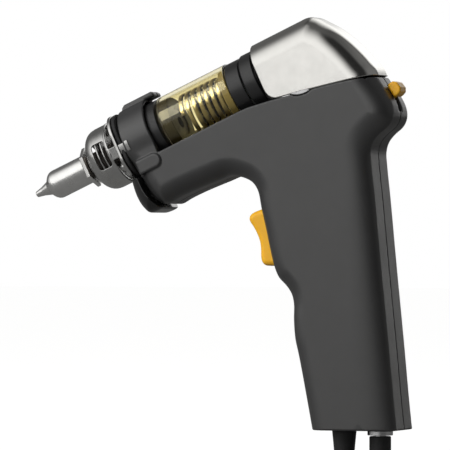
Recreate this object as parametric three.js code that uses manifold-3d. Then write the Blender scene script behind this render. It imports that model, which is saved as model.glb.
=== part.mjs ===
// Gun-type desoldering tool: pistol housing in two halves, heated nozzle in a
// slotted steel cover, glass filter pipe with a coiled solder catcher, sprung
// rear plunger under a metal hood, release knob, trigger and vacuum line.
// Millimetres, +Z up, nozzle towards -X, operator's side +X, width along Y.
// Lengths are taken from the centre of the handle's base face; the finished group
// is then moved by ORIGIN_SHIFT.
import * as THREE from 'three';
import { mergeVertices } from 'three/addons/utils/BufferGeometryUtils.js';
import Module from 'manifold-3d';

const wasm = await Module();
wasm.setup();

const { degToRad } = THREE.MathUtils;

// ---------------------------------------------------------------- dimensions
const ORIGIN_SHIFT = [65.05, 0, 20];  // from the handle's base to the middle of the box's underside
const TIP = [-148.3, 0, 99.3];        // centre of the nozzle's open end
const TILT = degToRad(24.84);         // barrel axis above the horizontal

// housing
const HALF_W = 15;
const WALL = 2.4;
const SPLIT = 0.15;                   // half of the joint line between the halves
const EDGE = 4.2;                     // rounding of the housing edges
const BOSS_R = 3.1;
const BOSS_END = 13.4;                // outer end of bosses and pin seats, merged into the wall

// stations along the barrel axis (*_START, *_END) are measured from the tip
const NOZZLE_R = 6.3;
const NOZZLE_BORE = 1.5;
const NOZZLE_END = 28.8;
const HEX_R = 9;
const HEX_T = 1.8;
const HEATER_R = 5.2;
const BORE_R = 1.6;
const COVER_R = 13.8;
const COVER_T = 0.8;
const COVER_START = 30.8;
const COVER_END = 43.4;
const FLANGE_R = 15;
const FLANGE_BORE = 6;
const FLANGE_START = 46.9;
const FLANGE_END = FLANGE_START + 1.5;
const FLANGE_HOLE_R = 1.35;
const FLANGE_HOLE_CIRCLE_R = 9.6;
const GASKET_R = 14.5;
const GASKET_START = 48.7;
const GASKET_END = GASKET_START + 1.7;
const COLLAR_R = 15.6;
const COLLAR_START = 50.8;
const COLLAR_END = 63.8;
const CHANNEL_R = 14.15;
const WALL_TOP = -9.8;                // top of the side walls beside the glass, from the axis
const GLASS_R = 13.4;
const GLASS_T = 1.5;
const GLASS_START = 69;
const GLASS_END = 103;
const REAR_CAP_START = 103.3;
const REAR_CAP_END = 109.8;
const PLUNGER_START = 110.3;
const PLUNGER_END = 116.5;
const HOOD_START = 118.2;

// trigger, release knob and the lines through the base
const TRIGGER_HALF_W = 7.6;
const TRIGGER_OPENING_HALF_W = TRIGGER_HALF_W + 0.5;
const TRIGGER_PIVOT = [-36.4, 97.6];  // x, z
const PIN_R = 1.25;
const PIN_HOLE_R = PIN_R + 0.3;
const REAR_DOWN = [0.539, -0.842];    // direction down the upper rear face (x, z)
const REAR_OUT = [-REAR_DOWN[1], REAR_DOWN[0]];
const KNOB_AT = [13.8, 142];          // middle of the knob's base (x, z)
const KNOB_HALF_W = 4;
const CORD_AT = [-7.5, 0, 0];
const HOSE_AT = [8.5, 0, 0];

// side-view point (x, z) from a distance along the barrel axis and a height above it
const barrelXZ = (along, above) => [
  TIP[0] + along * Math.cos(TILT) - above * Math.sin(TILT),
  TIP[2] + along * Math.sin(TILT) + above * Math.cos(TILT),
];
// side-view point (x, z) from distances down and out of the upper rear face
const rearXZ = (down, out) => [
  KNOB_AT[0] + REAR_DOWN[0] * down + REAR_OUT[0] * out,
  KNOB_AT[1] + REAR_DOWN[1] * down + REAR_OUT[1] * out,
];
const barrelOutline = (rows) => rows.map((row) => barrelXZ(...row));
const rearOutline = (rows) => rows.map((row) => rearXZ(...row));

// ------------------------------------------------------- side outlines (x, z)
// from under the base, up the back, over the top, down the front
const OUTLINE = [
  [-17.0, -8], [19.4, -8],
  [17.3, 10.5], [14.65, 37.2], [11.2, 70.7], [8.6, 97.6], [7.15, 111.5], [6.9, 117],
  [8.1, 121], [10.9, 124.2], [15.0, 127.5], [16.8, 130.2], [17.3, 133.2], [16.7, 136.4],
  [14.4, 141], [9.2, 148.3],
  [-36.6, 138.7], barrelXZ(110, -10.1), barrelXZ(104, WALL_TOP),
  barrelXZ(COLLAR_END, WALL_TOP), barrelXZ(COLLAR_END, 0),
  barrelXZ(COLLAR_START, 0), barrelXZ(COLLAR_START, -12.6),
  [-95.3, 105.6], [-92.9, 101.3], [-90.3, 98.1], [-87.3, 96.2], [-84.0, 96.2],
  [-73, 100.5], [-61.9, 104.8], [-55.6, 107], [-50.2, 106.3], [-45.8, 104.2],
  [-43.2, 100.6], [-41.5, 93.5], [-39.4, 84.9], [-35.6, 68.8],
  [-33.4, 63.9], [-30.1, 60.5], [-27.8, 57.1], [-26.8, 53], [-26.8, 46.5],
  [-26.2, 38.5], [-24.4, 30.5], [-21.2, 14.3],
];
// outer edge of the bezel, then its inner edge
const BEZEL_OUTER = [
  [-100.6, 104.6], [-99.3, 100.8], [-97.5, 96.8], [-95.2, 93.5], [-92.4, 91.4],
  [-88.6, 92.4], [-84.4, 94.6],
];
const BEZEL_INNER = [
  [-84.6, 95.8], [-87.4, 95.6], [-90.6, 97.6], [-93.3, 101.0], [-95.7, 105.5], [-96.2, 106.3],
];
const HOOD = [
  barrelXZ(HOOD_START, -10.35), [8.7, 149.0], [4.4, 154.9], [-5.2, 164.2], [-15.9, 171.5],
  [-22.0, 173.7], barrelXZ(HOOD_START, 14.4),
];
const HOOD_HOLLOW = [
  barrelXZ(HOOD_START - 12, -22), barrelXZ(HOOD_START - 12, 12.9), [-21.4, 171.9],
  [-15.0, 169.3], [-5.6, 162.6], [2.9, 154.2], [6.6, 148.6], [4.5, 132],
];
const CATCH = [[-26.4, 141.0], [-24.6, 140.3], [-22.2, 140.2], [-19.6, 141.0], [-17.4, 142.9]];
const CATCH_POCKET = [
  [-26.9, 141.4], [-24.9, 139.95], [-22.0, 139.8], [-19.3, 140.7], [-16.6, 143.4],
  [-16.8, 146], [-27.2, 143],
];
const TRIGGER = [
  [-36.4, 100.8], [-38.3, 99.8], [-38.9, 97.8], [-38.8, 94.9], [-41.0, 93.3], [-43.0, 92.7],
  [-45.7, 91.7], [-47.6, 90.5], [-48.1, 89.1], [-47.8, 87.7], [-46.4, 85.7],
  [-44.7, 82.7], [-43.4, 79.4], [-42.9, 76.2], [-42.8, 72.3], [-42.2, 70.2],
  [-40.9, 69.2], [-38.4, 68.9], [-35.2, 68.9], [-33.4, 71.0], [-33.0, 80],
  [-33.4, 94.5], [-33.6, 99.6],
];
// places of the screws across the housing
const HOUSING_SCREWS = [[-79, 108.6], [-44, 117.5], [-13.6, 128], [0.2, 92], [-15.5, 31]];

// ------------------------------------------------------------ solid modelling
// geometry as a closed solid: corners merged, collapsed triangles dropped, facing
// out; a shape that is already a solid is returned as it is
function solid(shape) {
  if (!(shape instanceof THREE.BufferGeometry)) return shape;
  for (const name of Object.keys(shape.attributes)) {
    if (name !== 'position') shape.deleteAttribute(name);
  }
  const merged = mergeVertices(shape, 1e-4);
  const { position } = merged.attributes;
  const corner = (i) => new THREE.Vector3().fromBufferAttribute(position, i);
  const triangles = [];
  let volume = 0;
  for (let i = 0; i < merged.index.count; i += 3) {
    const [a, b, c] = merged.index.array.slice(i, i + 3);
    if (a === b || b === c || a === c) continue;
    triangles.push([a, b, c]);
    volume += corner(a).dot(corner(b).cross(corner(c)));
  }
  if (volume < 0) triangles.forEach((triangle) => triangle.reverse());
  return new wasm.Manifold(new wasm.Mesh({
    numProp: 3,
    vertProperties: new Float32Array(position.array),
    triVerts: new Uint32Array(triangles.flat()),
  }));
}
function geometryOf(body) {
  const mesh = body.getMesh();
  const geometry = new THREE.BufferGeometry();
  const positions = new Float32Array(mesh.vertProperties);
  geometry.setAttribute('position', new THREE.BufferAttribute(positions, 3));
  geometry.setIndex(new THREE.BufferAttribute(new Uint32Array(mesh.triVerts), 1));
  return geometry;
}
const join = (first, ...rest) => rest.reduce((body, part) => body.add(solid(part)), solid(first));
const cut = (first, ...tools) =>
  tools.reduce((body, tool) => body.subtract(solid(tool)), solid(first));
const overlap = (first, second) => solid(first).intersect(solid(second));

// -------------------------------------------------------------- basic shapes
const toVectors = (outline) => outline.map(([x, y]) => new THREE.Vector2(x, y));
const counterClockwise = (outline) =>
  (THREE.ShapeUtils.area(toVectors(outline)) > 0 ? outline : [...outline].reverse());

// plate with outline (x, z) between y0 and y1, its long edges rounded
function plate(outline, y0, y1, edge = 0, edgeSteps = 1) {
  const geometry = new THREE.ExtrudeGeometry(new THREE.Shape(toVectors(counterClockwise(outline))), {
    depth: y1 - y0 - 2 * edge,
    steps: 1,
    bevelEnabled: edge > 0,
    bevelThickness: edge,
    bevelSize: edge,
    bevelOffset: -edge,
    bevelSegments: edgeSteps,
  });
  return geometry.translate(0, 0, edge).rotateX(Math.PI / 2).translate(0, y1, 0);
}
const centredPlate = (outline, halfWidth, edge, edgeSteps) =>
  plate(outline, -halfWidth, halfWidth, edge, edgeSteps);

// outline moved inwards, sharp corners held back by a limit
const CORNER_LIMIT = 1.2;
function inset(outline, distance) {
  const points = counterClockwise(outline);
  const inwardNormal = (from, to) => {
    const [dx, dz] = [to[0] - from[0], to[1] - from[1]];
    const length = Math.hypot(dx, dz);
    return [-dz / length, dx / length];
  };
  return points.map((point, i) => {
    const before = inwardNormal(points.at(i - 1), point);
    const after = inwardNormal(point, points[(i + 1) % points.length]);
    const [x, z] = [before[0] + after[0], before[1] + after[1]];
    const reach = Math.min(distance * 2 / (x * x + z * z), distance * CORNER_LIMIT);
    return [point[0] + x * reach, point[1] + z * reach];
  });
}

// turned part about local X from [station, radius] pairs
function turned(profile, facets) {
  const points = profile.map(([station, radius]) => new THREE.Vector2(radius, station));
  const endsOnAxis = points[0].x === 0 && points.at(-1).x === 0;
  if (!endsOnAxis) points.push(points[0].clone());
  return new THREE.LatheGeometry(points, facets).rotateZ(-Math.PI / 2);
}
const rod = (radius, start, end, facets) =>
  turned([[start, 0], [start, radius], [end, radius], [end, 0]], facets);
const tube = (radius, bore, start, end, facets) =>
  turned([[start, bore], [start, radius], [end, radius], [end, bore]], facets);
const acrossY = (geometry) => geometry.rotateZ(Math.PI / 2);
const alongZ = (geometry) => geometry.rotateY(-Math.PI / 2);
const crossRod = ([x, z], radius, y0, y1, facets = 12) =>
  acrossY(rod(radius, y0, y1, facets)).translate(x, 0, z);

const box = ([x0, x1], [y0, y1], [z0, z1]) =>
  new THREE.BoxGeometry(x1 - x0, y1 - y0, z1 - z0)
    .translate((x0 + x1) / 2, (y0 + y1) / 2, (z0 + z1) / 2);

// barrel frame (local x along the axis from the tip, local z up) into the part frame
const BARREL_FRAME = new THREE.Matrix4().makeRotationY(-TILT).setPosition(...TIP);
const onBarrel = (geometry) => geometry.applyMatrix4(BARREL_FRAME);

// three angles 120 degrees apart, and a place (y, z) at an angle round the axis
const threeAngles = (first) => [first, first + 120, first + 240].map(degToRad);
const roundAxis = (radius, angle) => [-radius * Math.cos(angle), radius * Math.sin(angle)];

const circle = (radius, sides, startStep = 0) => Array.from({ length: sides }, (_, i) => {
  const angle = (i + startStep) / sides * 2 * Math.PI;
  return new THREE.Vector2(radius * Math.cos(angle), radius * Math.sin(angle));
});
const sweep = (shape, curve, steps) =>
  new THREE.ExtrudeGeometry(shape, { steps, bevelEnabled: false, extrudePath: curve });
const wire = (curve, radius, steps, sides) =>
  sweep(new THREE.Shape(circle(radius, sides, 0.5)), curve, steps);
const smoothCurve = (points) => new THREE.CatmullRomCurve3(
  points.map((point) => new THREE.Vector3(...point)), false, 'centripetal');

class Helix extends THREE.Curve {
  constructor(radius, length, turns) {
    super();
    Object.assign(this, { radius, length, turns });
  }

  getPoint(t, target = new THREE.Vector3()) {
    const angle = t * this.turns * 2 * Math.PI;
    return target.set(
      this.length * t, this.radius * Math.cos(angle), this.radius * Math.sin(angle));
  }
}
const spring = ({ radius, length, turns, wireRadius, stepsPerTurn }) =>
  wire(new Helix(radius, length, turns), wireRadius, turns * stepsPerTurn, 4);

// ---------------------------------------------------------------- materials
const finish = (settings) => () => new THREE.MeshStandardMaterial(settings);
const MATERIALS = {
  housing: finish({ color: 0x4a4a4b, roughness: 0.55, metalness: 0 }),
  gloss: finish({ color: 0x18181a, roughness: 0.25, metalness: 0 }),
  yellow: finish({ color: 0xefb83a, roughness: 0.4, metalness: 0 }),
  chrome: finish({ color: 0xe2e1dc, roughness: 0.22, metalness: 1 }),
  steel: finish({ color: 0xb9b7b3, roughness: 0.3, metalness: 1 }),
  zinc: finish({ color: 0x9a9a9c, roughness: 0.4, metalness: 1 }),
  rubber: finish({ color: 0x1b1b1c, roughness: 0.8, metalness: 0 }),
  silicone: finish({ color: 0xd8cfc0, roughness: 0.6, metalness: 0 }),
  glass: finish({
    color: 0xe9c85c, roughness: 0.08, metalness: 0, transparent: true, opacity: 0.35,
  }),
  brass: finish({ color: 0xc9a85a, roughness: 0.35, metalness: 1 }),
  ceramic: finish({ color: 0xece7dc, roughness: 0.8, metalness: 0 }),
  black: finish({ color: 0x262627, roughness: 0.45, metalness: 0 }),
  green: finish({ color: 0x2f6b45, roughness: 0.5, metalness: 0 }),
};

// ------------------------------------------------------------------- groups
const root = new THREE.Group();
root.position.set(...ORIGIN_SHIFT);
const barrel = new THREE.Group();          // everything placed on the barrel axis
barrel.position.set(...TIP);
barrel.rotation.y = -TILT;
root.add(barrel);

function piece(parent, name, shape, material, position = [0, 0, 0], rotation = [0, 0, 0]) {
  const mesh = new THREE.Mesh(geometryOf(solid(shape)), MATERIALS[material]());
  mesh.name = name;
  mesh.position.set(...position);
  mesh.rotation.set(...rotation);
  parent.add(mesh);
}

// ------------------------------------------------------------------ housing
const FLANGE_HOLES = threeAngles(24).map((angle) => roundAxis(FLANGE_HOLE_CIRCLE_R, angle));
const flangeHoleRods = (start, end) =>
  FLANGE_HOLES.map(([y, z]) => rod(FLANGE_HOLE_R, start, end, 10).translate(0, y, z));

const spaceAbove = (z) => box([-140, 60], [-30, 30], [z, 220]);

// rib along the top of the collar, reaching over the seat of the glass
function topRib() {
  return centredPlate(barrelOutline([
    [52.6, 13.5], [52.6, 15.6], [54.2, 16.9], [67.6, 16.9],
    [68.6, 15.9], [68.6, 14.6], [63.9, 14.6], [60, 13.5],
  ]), 4.6, 0.6, 1);
}

// rib on one side of the collar, rounded at its rear end
function sideRib(y0, y1) {
  const [along, above, radius, front] = [60.9, -12.4, 3.3, 52.4];
  const outline = [];
  for (let i = 0; i <= 6; i++) {
    const angle = -Math.PI / 2 + Math.PI * i / 6;
    outline.push([along + radius * Math.cos(angle), above + radius * Math.sin(angle)]);
  }
  outline.push([front, above + radius], [front, above - radius]);
  return plate(barrelOutline(outline), y0, y1, 0.7, 1);
}

function housingShell() {
  const outside = join(
    overlap(centredPlate(OUTLINE, HALF_W, EDGE, 3), spaceAbove(0)),
    onBarrel(rod(COLLAR_R, COLLAR_START, COLLAR_END, 32)),
    topRib(),
    sideRib(-15.9, -13.5),
    sideRib(13.5, 15.9),
  );
  const hollow = overlap(
    centredPlate(inset(OUTLINE, WALL), HALF_W - WALL, 2, 1), spaceAbove(WALL));
  const channel = onBarrel(rod(CHANNEL_R, 54.2, COLLAR_END + 1, 32));
  const frontBore = onBarrel(rod(6.4, COLLAR_START - 1, 56, 20));
  const wellStart = COLLAR_END + 0.01;
  const pipeWell = centredPlate(barrelOutline([
    [wellStart, -14.4], [wellStart, 6], [121, 6], [121, -15.6],
  ]), 12.3);
  const topOpening = centredPlate([[-44, 131], [-44, 152], [6.2, 152], [6.2, 136]], 12.5);
  const triggerOpening = box(
    [-52, -29.5], [-TRIGGER_OPENING_HALF_W, TRIGGER_OPENING_HALF_W], [68.2, 95]);
  const hollowed = cut(
    outside, hollow, channel, frontBore, pipeWell, topOpening, triggerOpening);

  const knobSpringBlock = centredPlate([
    ...rearOutline([[8.4, -11.5], [8.4, -7.6], [10.6, -7.4], [10.8, -3.8]]),
    [14.4, 128.0], [10.6, 125.2], [8.6, 126.6],
  ], 13);
  const triggerSpringWall = box([-26.3, -24.6], [-13, 13], [71.2, 77.8]);
  const knobSlot = centredPlate(
    rearOutline([[-3.2, -5], [-3.2, 6], [8.6, 6], [8.6, -5]]), 2.1);
  return cut(
    join(hollowed, knobSpringBlock, triggerSpringWall),
    knobSlot,
    plate(CATCH_POCKET, -16, -13.9),
    ...flangeHoleRods(50, 55).map(onBarrel),
    alongZ(rod(4.6, -3, 4, 20)).translate(...CORD_AT),
    alongZ(rod(3.6, -3, 4, 20)).translate(...HOSE_AT),
  );
}

// one half: its range in y, a boss and holes at each screw, a seat for the trigger pin;
// bosses and seats are [radius, y0, y1], holes [radius, y0, y1, facets]
function housingHalf(shell, { range, boss, holes, seat }) {
  let half = overlap(shell, box([-140, 60], range, [-40, 220]));
  for (const place of HOUSING_SCREWS) {
    half = join(half, crossRod(place, ...boss));
    half = cut(half, ...holes.map((hole) => crossRod(place, ...hole)));
  }
  return cut(
    join(half, crossRod(TRIGGER_PIVOT, ...seat)),
    crossRod(TRIGGER_PIVOT, PIN_HOLE_R, -11.6, 11.6),
  );
}

function housingScrew() {
  const profile = [
    [-8.6, 0], [-7.2, 1.25], [9.6, 1.25], [9.6, 2.7], [11.7, 2.2], [11.7, 0],
  ];
  const slot = () => box([-0.4, 0.4], [10.7, 12.5], [-1.7, 1.7]);
  return cut(acrossY(turned(profile, 10)), slot(), slot().rotateY(Math.PI / 2));
}

// rounded nose block trimmed to the bezel's outline
function frontBezel() {
  const nose = [...BEZEL_OUTER, [-78, 97.5], [-60, 105], [-60, 118], [-98.6, 112]];
  return overlap(
    centredPlate(nose, HALF_W, EDGE, 3),
    centredPlate([...BEZEL_OUTER, ...BEZEL_INNER], HALF_W + 1),
  );
}

const shell = housingShell();
piece(root, 'housing_left', housingHalf(shell, {
  range: [-30, -SPLIT],
  boss: [BOSS_R, -BOSS_END, -SPLIT],
  holes: [[1.6, -11.5, 2, 10]],
  seat: [3, -BOSS_END, -TRIGGER_OPENING_HALF_W],
}), 'housing');
piece(root, 'housing_right', housingHalf(shell, {
  range: [SPLIT, 30],
  boss: [BOSS_R + 0.6, SPLIT, BOSS_END],
  holes: [[1.8, -2, 20, 10], [3.1, 9.3, 20, 12]],
  seat: [3, TRIGGER_OPENING_HALF_W, BOSS_END],
}), 'housing');
HOUSING_SCREWS.forEach(([x, z], i) => {
  piece(root, `housing_screw_${i + 1}`, housingScrew(), 'zinc', [x, 0, z]);
});
piece(root, 'front_bezel', frontBezel(), 'gloss');

// ------------------------------------------------------------------ hot end
function nozzle() {
  const body = turned([
    [0, 0.5], [0, 1.25], [0.3, 1.4], [3.6, 2.05], [6.7, 3.1], [8.6, 5], [12, 6.15],
    [14, NOZZLE_R], [NOZZLE_END, NOZZLE_R], [NOZZLE_END, NOZZLE_BORE], [9, NOZZLE_BORE], [7, 0.5],
  ], 20);
  const hex = new THREE.CylinderGeometry(HEX_R, HEX_R, HEX_T, 6)
    .rotateZ(-Math.PI / 2)
    .translate(NOZZLE_END - HEX_T / 2, 0, 0);
  return cut(join(body, hex), rod(NOZZLE_BORE, 20, 40, 20));
}

function heaterCore() {
  return turned([
    [29.1, BORE_R], [29.1, 4.9], [29.6, HEATER_R], [44, HEATER_R], [44, 5.8], [46.4, 5.8],
    [46.4, HEATER_R], [55.4, HEATER_R], [55.4, BORE_R],
  ], 24);
}

// domed cover with three feet back to the flange and a window on each side
function elementCover() {
  const innerR = COVER_R - COVER_T;
  const dome = turned([
    [COVER_START, 8.4], [COVER_START, 9.2], [32.2, 11.5], [34.2, 13.1], [36.8, COVER_R],
    [COVER_END, COVER_R],
    [COVER_END, innerR], [36.9, innerR], [34.6, 12.3], [32.9, 10.8], [31.8, 8.4],
  ], 28);
  const feet = threeAngles(96.5).map((angle) => box(
    [COVER_END - 1, FLANGE_START - 0.3], [-2.6, 2.6], [innerR - 0.05, COVER_R - 0.05],
  ).rotateX(angle));
  const windows = [90, 270].map((degrees) =>
    box([35.6, 42.2], [-5.8, 5.8], [8, 16]).rotateX(degToRad(degrees)));
  return cut(join(dome, ...feet), ...windows);
}

// disc with three posts on its front face
function heaterFlange() {
  const posts = threeAngles(-45).map((angle) =>
    rod(2.2, 44, FLANGE_START + 0.5, 12).translate(0, ...roundAxis(10.9, angle)));
  return cut(
    join(tube(FLANGE_R, FLANGE_BORE, FLANGE_START, FLANGE_END, 28), ...posts),
    ...flangeHoleRods(FLANGE_START - 1, FLANGE_START + 3),
  );
}

function flangeGasket() {
  return cut(
    tube(GASKET_R, FLANGE_BORE, GASKET_START, GASKET_END, 28),
    ...flangeHoleRods(GASKET_START - 1, GASKET_START + 3),
  );
}

function flangeScrew() {
  const profile = [
    [44.9, 0], [44.9, 1.6], [46.6, 2.2], [46.6, 1.05], [53.8, 1.05], [53.8, 0],
  ];
  return cut(turned(profile, 12), box([44, 45.5], [-0.3, 0.3], [-3, 3]));
}

piece(barrel, 'nozzle', nozzle(), 'steel');
piece(barrel, 'heater_core', heaterCore(), 'ceramic');
piece(barrel, 'element_cover', elementCover(), 'steel');
piece(barrel, 'heater_flange', heaterFlange(), 'steel');
piece(barrel, 'flange_gasket', flangeGasket(), 'rubber');
FLANGE_HOLES.forEach(([y, z], i) => {
  piece(barrel, `flange_screw_${i + 1}`, flangeScrew(), 'zinc', [0, y, z]);
});

// ------------------------------------------------- filter pipe and its seats
piece(barrel, 'front_holder', turned([
  [55.8, BORE_R], [55.8, 7], [58.6, 7], [60.6, 13.2], [68, 13.2], [68, BORE_R + 0.4],
  [60, BORE_R],
], 28), 'black');
piece(barrel, 'front_seal', tube(9.6, 2.2, 68.2, 68.8, 24), 'silicone');
piece(barrel, 'filter_glass',
  tube(GLASS_R, GLASS_R - GLASS_T, GLASS_START, GLASS_END, 32), 'glass');
piece(barrel, 'filter_front_cap', tube(11.6, 2.6, 69.1, 71.9, 28), 'silicone');
piece(barrel, 'spring_filter', spring({
  radius: 10.1, length: 24.6, turns: 8.5, wireRadius: 0.62, stepsPerTurn: 12,
}).translate(73.3, 0, 0), 'brass');
piece(barrel, 'ceramic_filter', tube(11.5, 2.4, 99.4, 102.6, 24), 'ceramic');
piece(barrel, 'filter_rear_cap', turned([
  [REAR_CAP_START, 2.4], [REAR_CAP_START, 13], [REAR_CAP_END - 0.6, 13],
  [REAR_CAP_END, 12.4], [REAR_CAP_END, 2.4],
], 28), 'black');
// disc with a hollow stem to the rear
piece(barrel, 'rear_plunger', turned([
  [PLUNGER_START, 2], [PLUNGER_START, 12.9], [PLUNGER_START + 0.6, 13.5],
  [PLUNGER_END - 0.6, 13.5], [PLUNGER_END, 12.9], [PLUNGER_END, 5.4], [137, 5.4], [137, 2],
], 28), 'gloss');
piece(barrel, 'plunger_spring', spring({
  radius: 7.6, length: 12.8, turns: 5, wireRadius: 0.6, stepsPerTurn: 10,
}).translate(117.5, 0, 0), 'zinc');

// flanged sleeve round the plunger's stem, on a crosswise plate
function plungerGuide() {
  const sleeve = turned([
    [131.2, 5.75], [131.2, 11.4], [133, 11.4], [133, 8.2], [144.6, 8.2], [146.2, 6],
    [146.2, 2.3], [143.6, 2.3], [143.6, 5.75],
  ], 24);
  return join(sleeve, box([131.2, 133], [-12.1, 12.1], [-16.6, -8.4]));
}
piece(barrel, 'plunger_guide', plungerGuide(), 'black');

// ------------------------------------------------------------ hood and knob
function rearHood() {
  return cut(
    centredPlate(HOOD, HALF_W, 5.2, 3),
    centredPlate(HOOD_HOLLOW, 13.5, 4, 2),
    onBarrel(rod(13.85, 110, 124, 32)),
  );
}

function releaseKnob() {
  const grip = rearOutline([
    [-3.1, 0.7], [-3, 3.4], [-1.8, 4.8], [1, 5.2], [2.6, 4.2], [3.1, 2.6], [3.1, 0.7],
  ]);
  const stem = rearOutline([[-2.6, -4.4], [-2.6, 1.2], [2.6, 1.2], [2.6, -4.4]]);
  return join(centredPlate(grip, KNOB_HALF_W, 0.6, 1), centredPlate(stem, 1.7));
}

// L-shaped slider inside the rear face
function releaseSlider() {
  return centredPlate(rearOutline([
    [-3, -11], [-3, -4.7], [3.4, -4.7], [3.4, -7], [-1.8, -7], [-1.8, -11],
  ]), 5.5);
}

piece(root, 'rear_hood', rearHood(), 'chrome');
piece(root, 'hood_catch', plate(CATCH, -14.95, -14.2), 'zinc');
piece(root, 'release_knob', releaseKnob(), 'yellow');
piece(root, 'release_slider', releaseSlider(), 'black');
const [knobSpringX, knobSpringZ] = rearXZ(-1.1, -9.4);
piece(root, 'knob_spring', spring({
  radius: 1.3, length: 8.9, turns: 6, wireRadius: 0.3, stepsPerTurn: 8,
}), 'zinc', [knobSpringX, 0, knobSpringZ], [0, Math.atan2(-REAR_DOWN[1], REAR_DOWN[0]), 0]);

// ---------------------------------------------------------- trigger, switch
// blade with a pin hole and a spring pocket in its back
function trigger() {
  return cut(
    centredPlate(TRIGGER, TRIGGER_HALF_W, 1.8, 3),
    crossRod(TRIGGER_PIVOT, PIN_HOLE_R, -12, 12),
    box([-36.6, -30], [-5.2, 5.2], [71.4, 78.4]),
  );
}

// switch body with a plunger recess in front and three tabs behind
function triggerSwitch() {
  const body = cut(
    box([-29.9, -16.5], [-4.2, 4.2], [78.8, 93.2]),
    box([-31, -25.2], [-1.8, 1.8], [83.8, 87]),
  );
  const tabs = [81.2, 85.6, 90].map((z) =>
    box([-17, -12.6], [-2.6, 2.6], [z - 0.35, z + 0.35]));
  return join(body, ...tabs);
}

piece(root, 'trigger', trigger(), 'yellow');
piece(root, 'trigger_pin', acrossY(rod(PIN_R, -11.2, 11.2, 12)), 'zinc',
  [TRIGGER_PIVOT[0], 0, TRIGGER_PIVOT[1]]);
piece(root, 'trigger_spring', spring({
  radius: 2.2, length: 9.2, turns: 5, wireRadius: 0.4, stepsPerTurn: 8,
}), 'zinc', [-36.1, 0, 74.9]);
piece(root, 'switch_plunger', box([-32.6, -29.2], [-1.4, 1.4], [84.2, 86.6]), 'yellow');
piece(root, 'trigger_switch', triggerSwitch(), 'black');

// -------------------------------------------------- wiring, hose and exits
// lead from the hot end to the terminal board (x, y, z), mirrored for the other side
const LEAD = [
  [-94.2, 4.5, 114.6], [-91.6, 6.4, 110.8], [-86.5, 8.4, 111.2], [-79, 9.2, 114.2],
  [-66, 9.4, 113.6], [-48, 9.4, 110.6], [-24, 9.4, 106], [-13.5, 8.6, 92], [-9.8, 7.4, 76.4],
];
const lead = (side) => wire(smoothCurve(LEAD.map(([x, y, z]) => [x, side * y, z])), 0.9, 24, 5);

// centre line of the hose (x, z), from behind the plunger down to the base
const HOSE_LINE = [
  barrelXZ(147.3, 0), [-10.4, 161.4], [-5.8, 155.5], [-4.6, 146], [-5.6, 130], [-7, 108],
  [-7.4, 92], [-4, 74], [3.4, 36], [7.6, 18], [8.5, 11.6],
];
function innerHose() {
  const ring = new THREE.Shape(circle(3.1, 10));
  ring.holes.push(new THREE.Path(circle(1.9, 6)));
  return sweep(ring, smoothCurve(HOSE_LINE.map(([x, z]) => [x, 0, z])), 18);
}

function hoseNipple() {
  return alongZ(turned([
    [-13, 1.6], [-13, 2.3], [-9.6, 2.9], [-9.6, 2.4], [-2.2, 2.4], [-2.2, 5.4], [-0.4, 5.4],
    [-0.4, 3.2], [2.8, 3.2], [2.8, 5.4], [4.4, 5.4], [4.4, 2.6], [11.2, 2.6], [11.2, 1.6],
  ], 14));
}

function strainRelief() {
  return alongZ(turned([
    [-16.5, 2.85], [-16.5, 3.7], [-11, 4.1], [-11, 3.5], [-9.6, 3.5], [-9.6, 4.3],
    [-0.4, 5.2], [-0.4, 4.3], [2.8, 4.3], [2.8, 6.2], [4.8, 6.2], [4.8, 2.85],
  ], 16));
}

function cordClamp() {
  return cut(
    box([-12.6, -2.4], [-7.4, 7.4], [9.4, 14.4]),
    alongZ(rod(2.9, 0, 30, 14)).translate(...CORD_AT),
  );
}

piece(root, 'terminal_board', box([-10.6, -9], [-9.5, 9.5], [50, 74]), 'green');
piece(root, 'heater_lead', lead(1), 'silicone');
piece(root, 'sensor_lead', lead(-1), 'silicone');
piece(root, 'inner_hose', innerHose(), 'silicone');
piece(root, 'hose_nipple', hoseNipple(), 'zinc', HOSE_AT);
piece(root, 'vacuum_hose_end', alongZ(tube(4.6, 3.2, -20, -2.6, 14)), 'rubber', HOSE_AT);
piece(root, 'strain_relief', strainRelief(), 'rubber', CORD_AT);
piece(root, 'power_cord', alongZ(rod(2.6, -20, 24, 14)), 'rubber', CORD_AT);
piece(root, 'cord_clamp', cordClamp(), 'black');

export default root;
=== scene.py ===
import math

import bmesh
import bpy
import numpy as np
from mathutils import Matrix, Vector


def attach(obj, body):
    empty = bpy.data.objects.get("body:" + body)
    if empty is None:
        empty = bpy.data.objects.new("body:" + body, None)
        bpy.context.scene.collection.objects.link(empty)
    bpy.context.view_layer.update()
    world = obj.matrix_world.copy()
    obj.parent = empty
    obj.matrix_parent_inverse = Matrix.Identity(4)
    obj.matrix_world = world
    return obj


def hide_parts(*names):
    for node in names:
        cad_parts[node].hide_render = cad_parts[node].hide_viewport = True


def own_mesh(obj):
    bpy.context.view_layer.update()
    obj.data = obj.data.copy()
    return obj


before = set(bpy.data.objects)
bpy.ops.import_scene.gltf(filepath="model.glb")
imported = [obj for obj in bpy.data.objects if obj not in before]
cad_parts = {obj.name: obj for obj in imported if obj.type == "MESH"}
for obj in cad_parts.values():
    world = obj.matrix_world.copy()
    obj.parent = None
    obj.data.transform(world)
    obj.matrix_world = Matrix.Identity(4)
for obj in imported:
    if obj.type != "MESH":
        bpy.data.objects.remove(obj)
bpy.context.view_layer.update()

# ------------------------------------------------------------ driving dimensions
SHIFT = np.array([65.05, 0.0, 20.0])  # handle base centre in the scene
TIP = (-148.3, 99.3)                  # nozzle tip (x, z)
TILT = math.radians(24.84)
COS_TILT, SIN_TILT = math.cos(TILT), math.sin(TILT)
BARREL_AXIS = (COS_TILT, 0, SIN_TILT)

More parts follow.
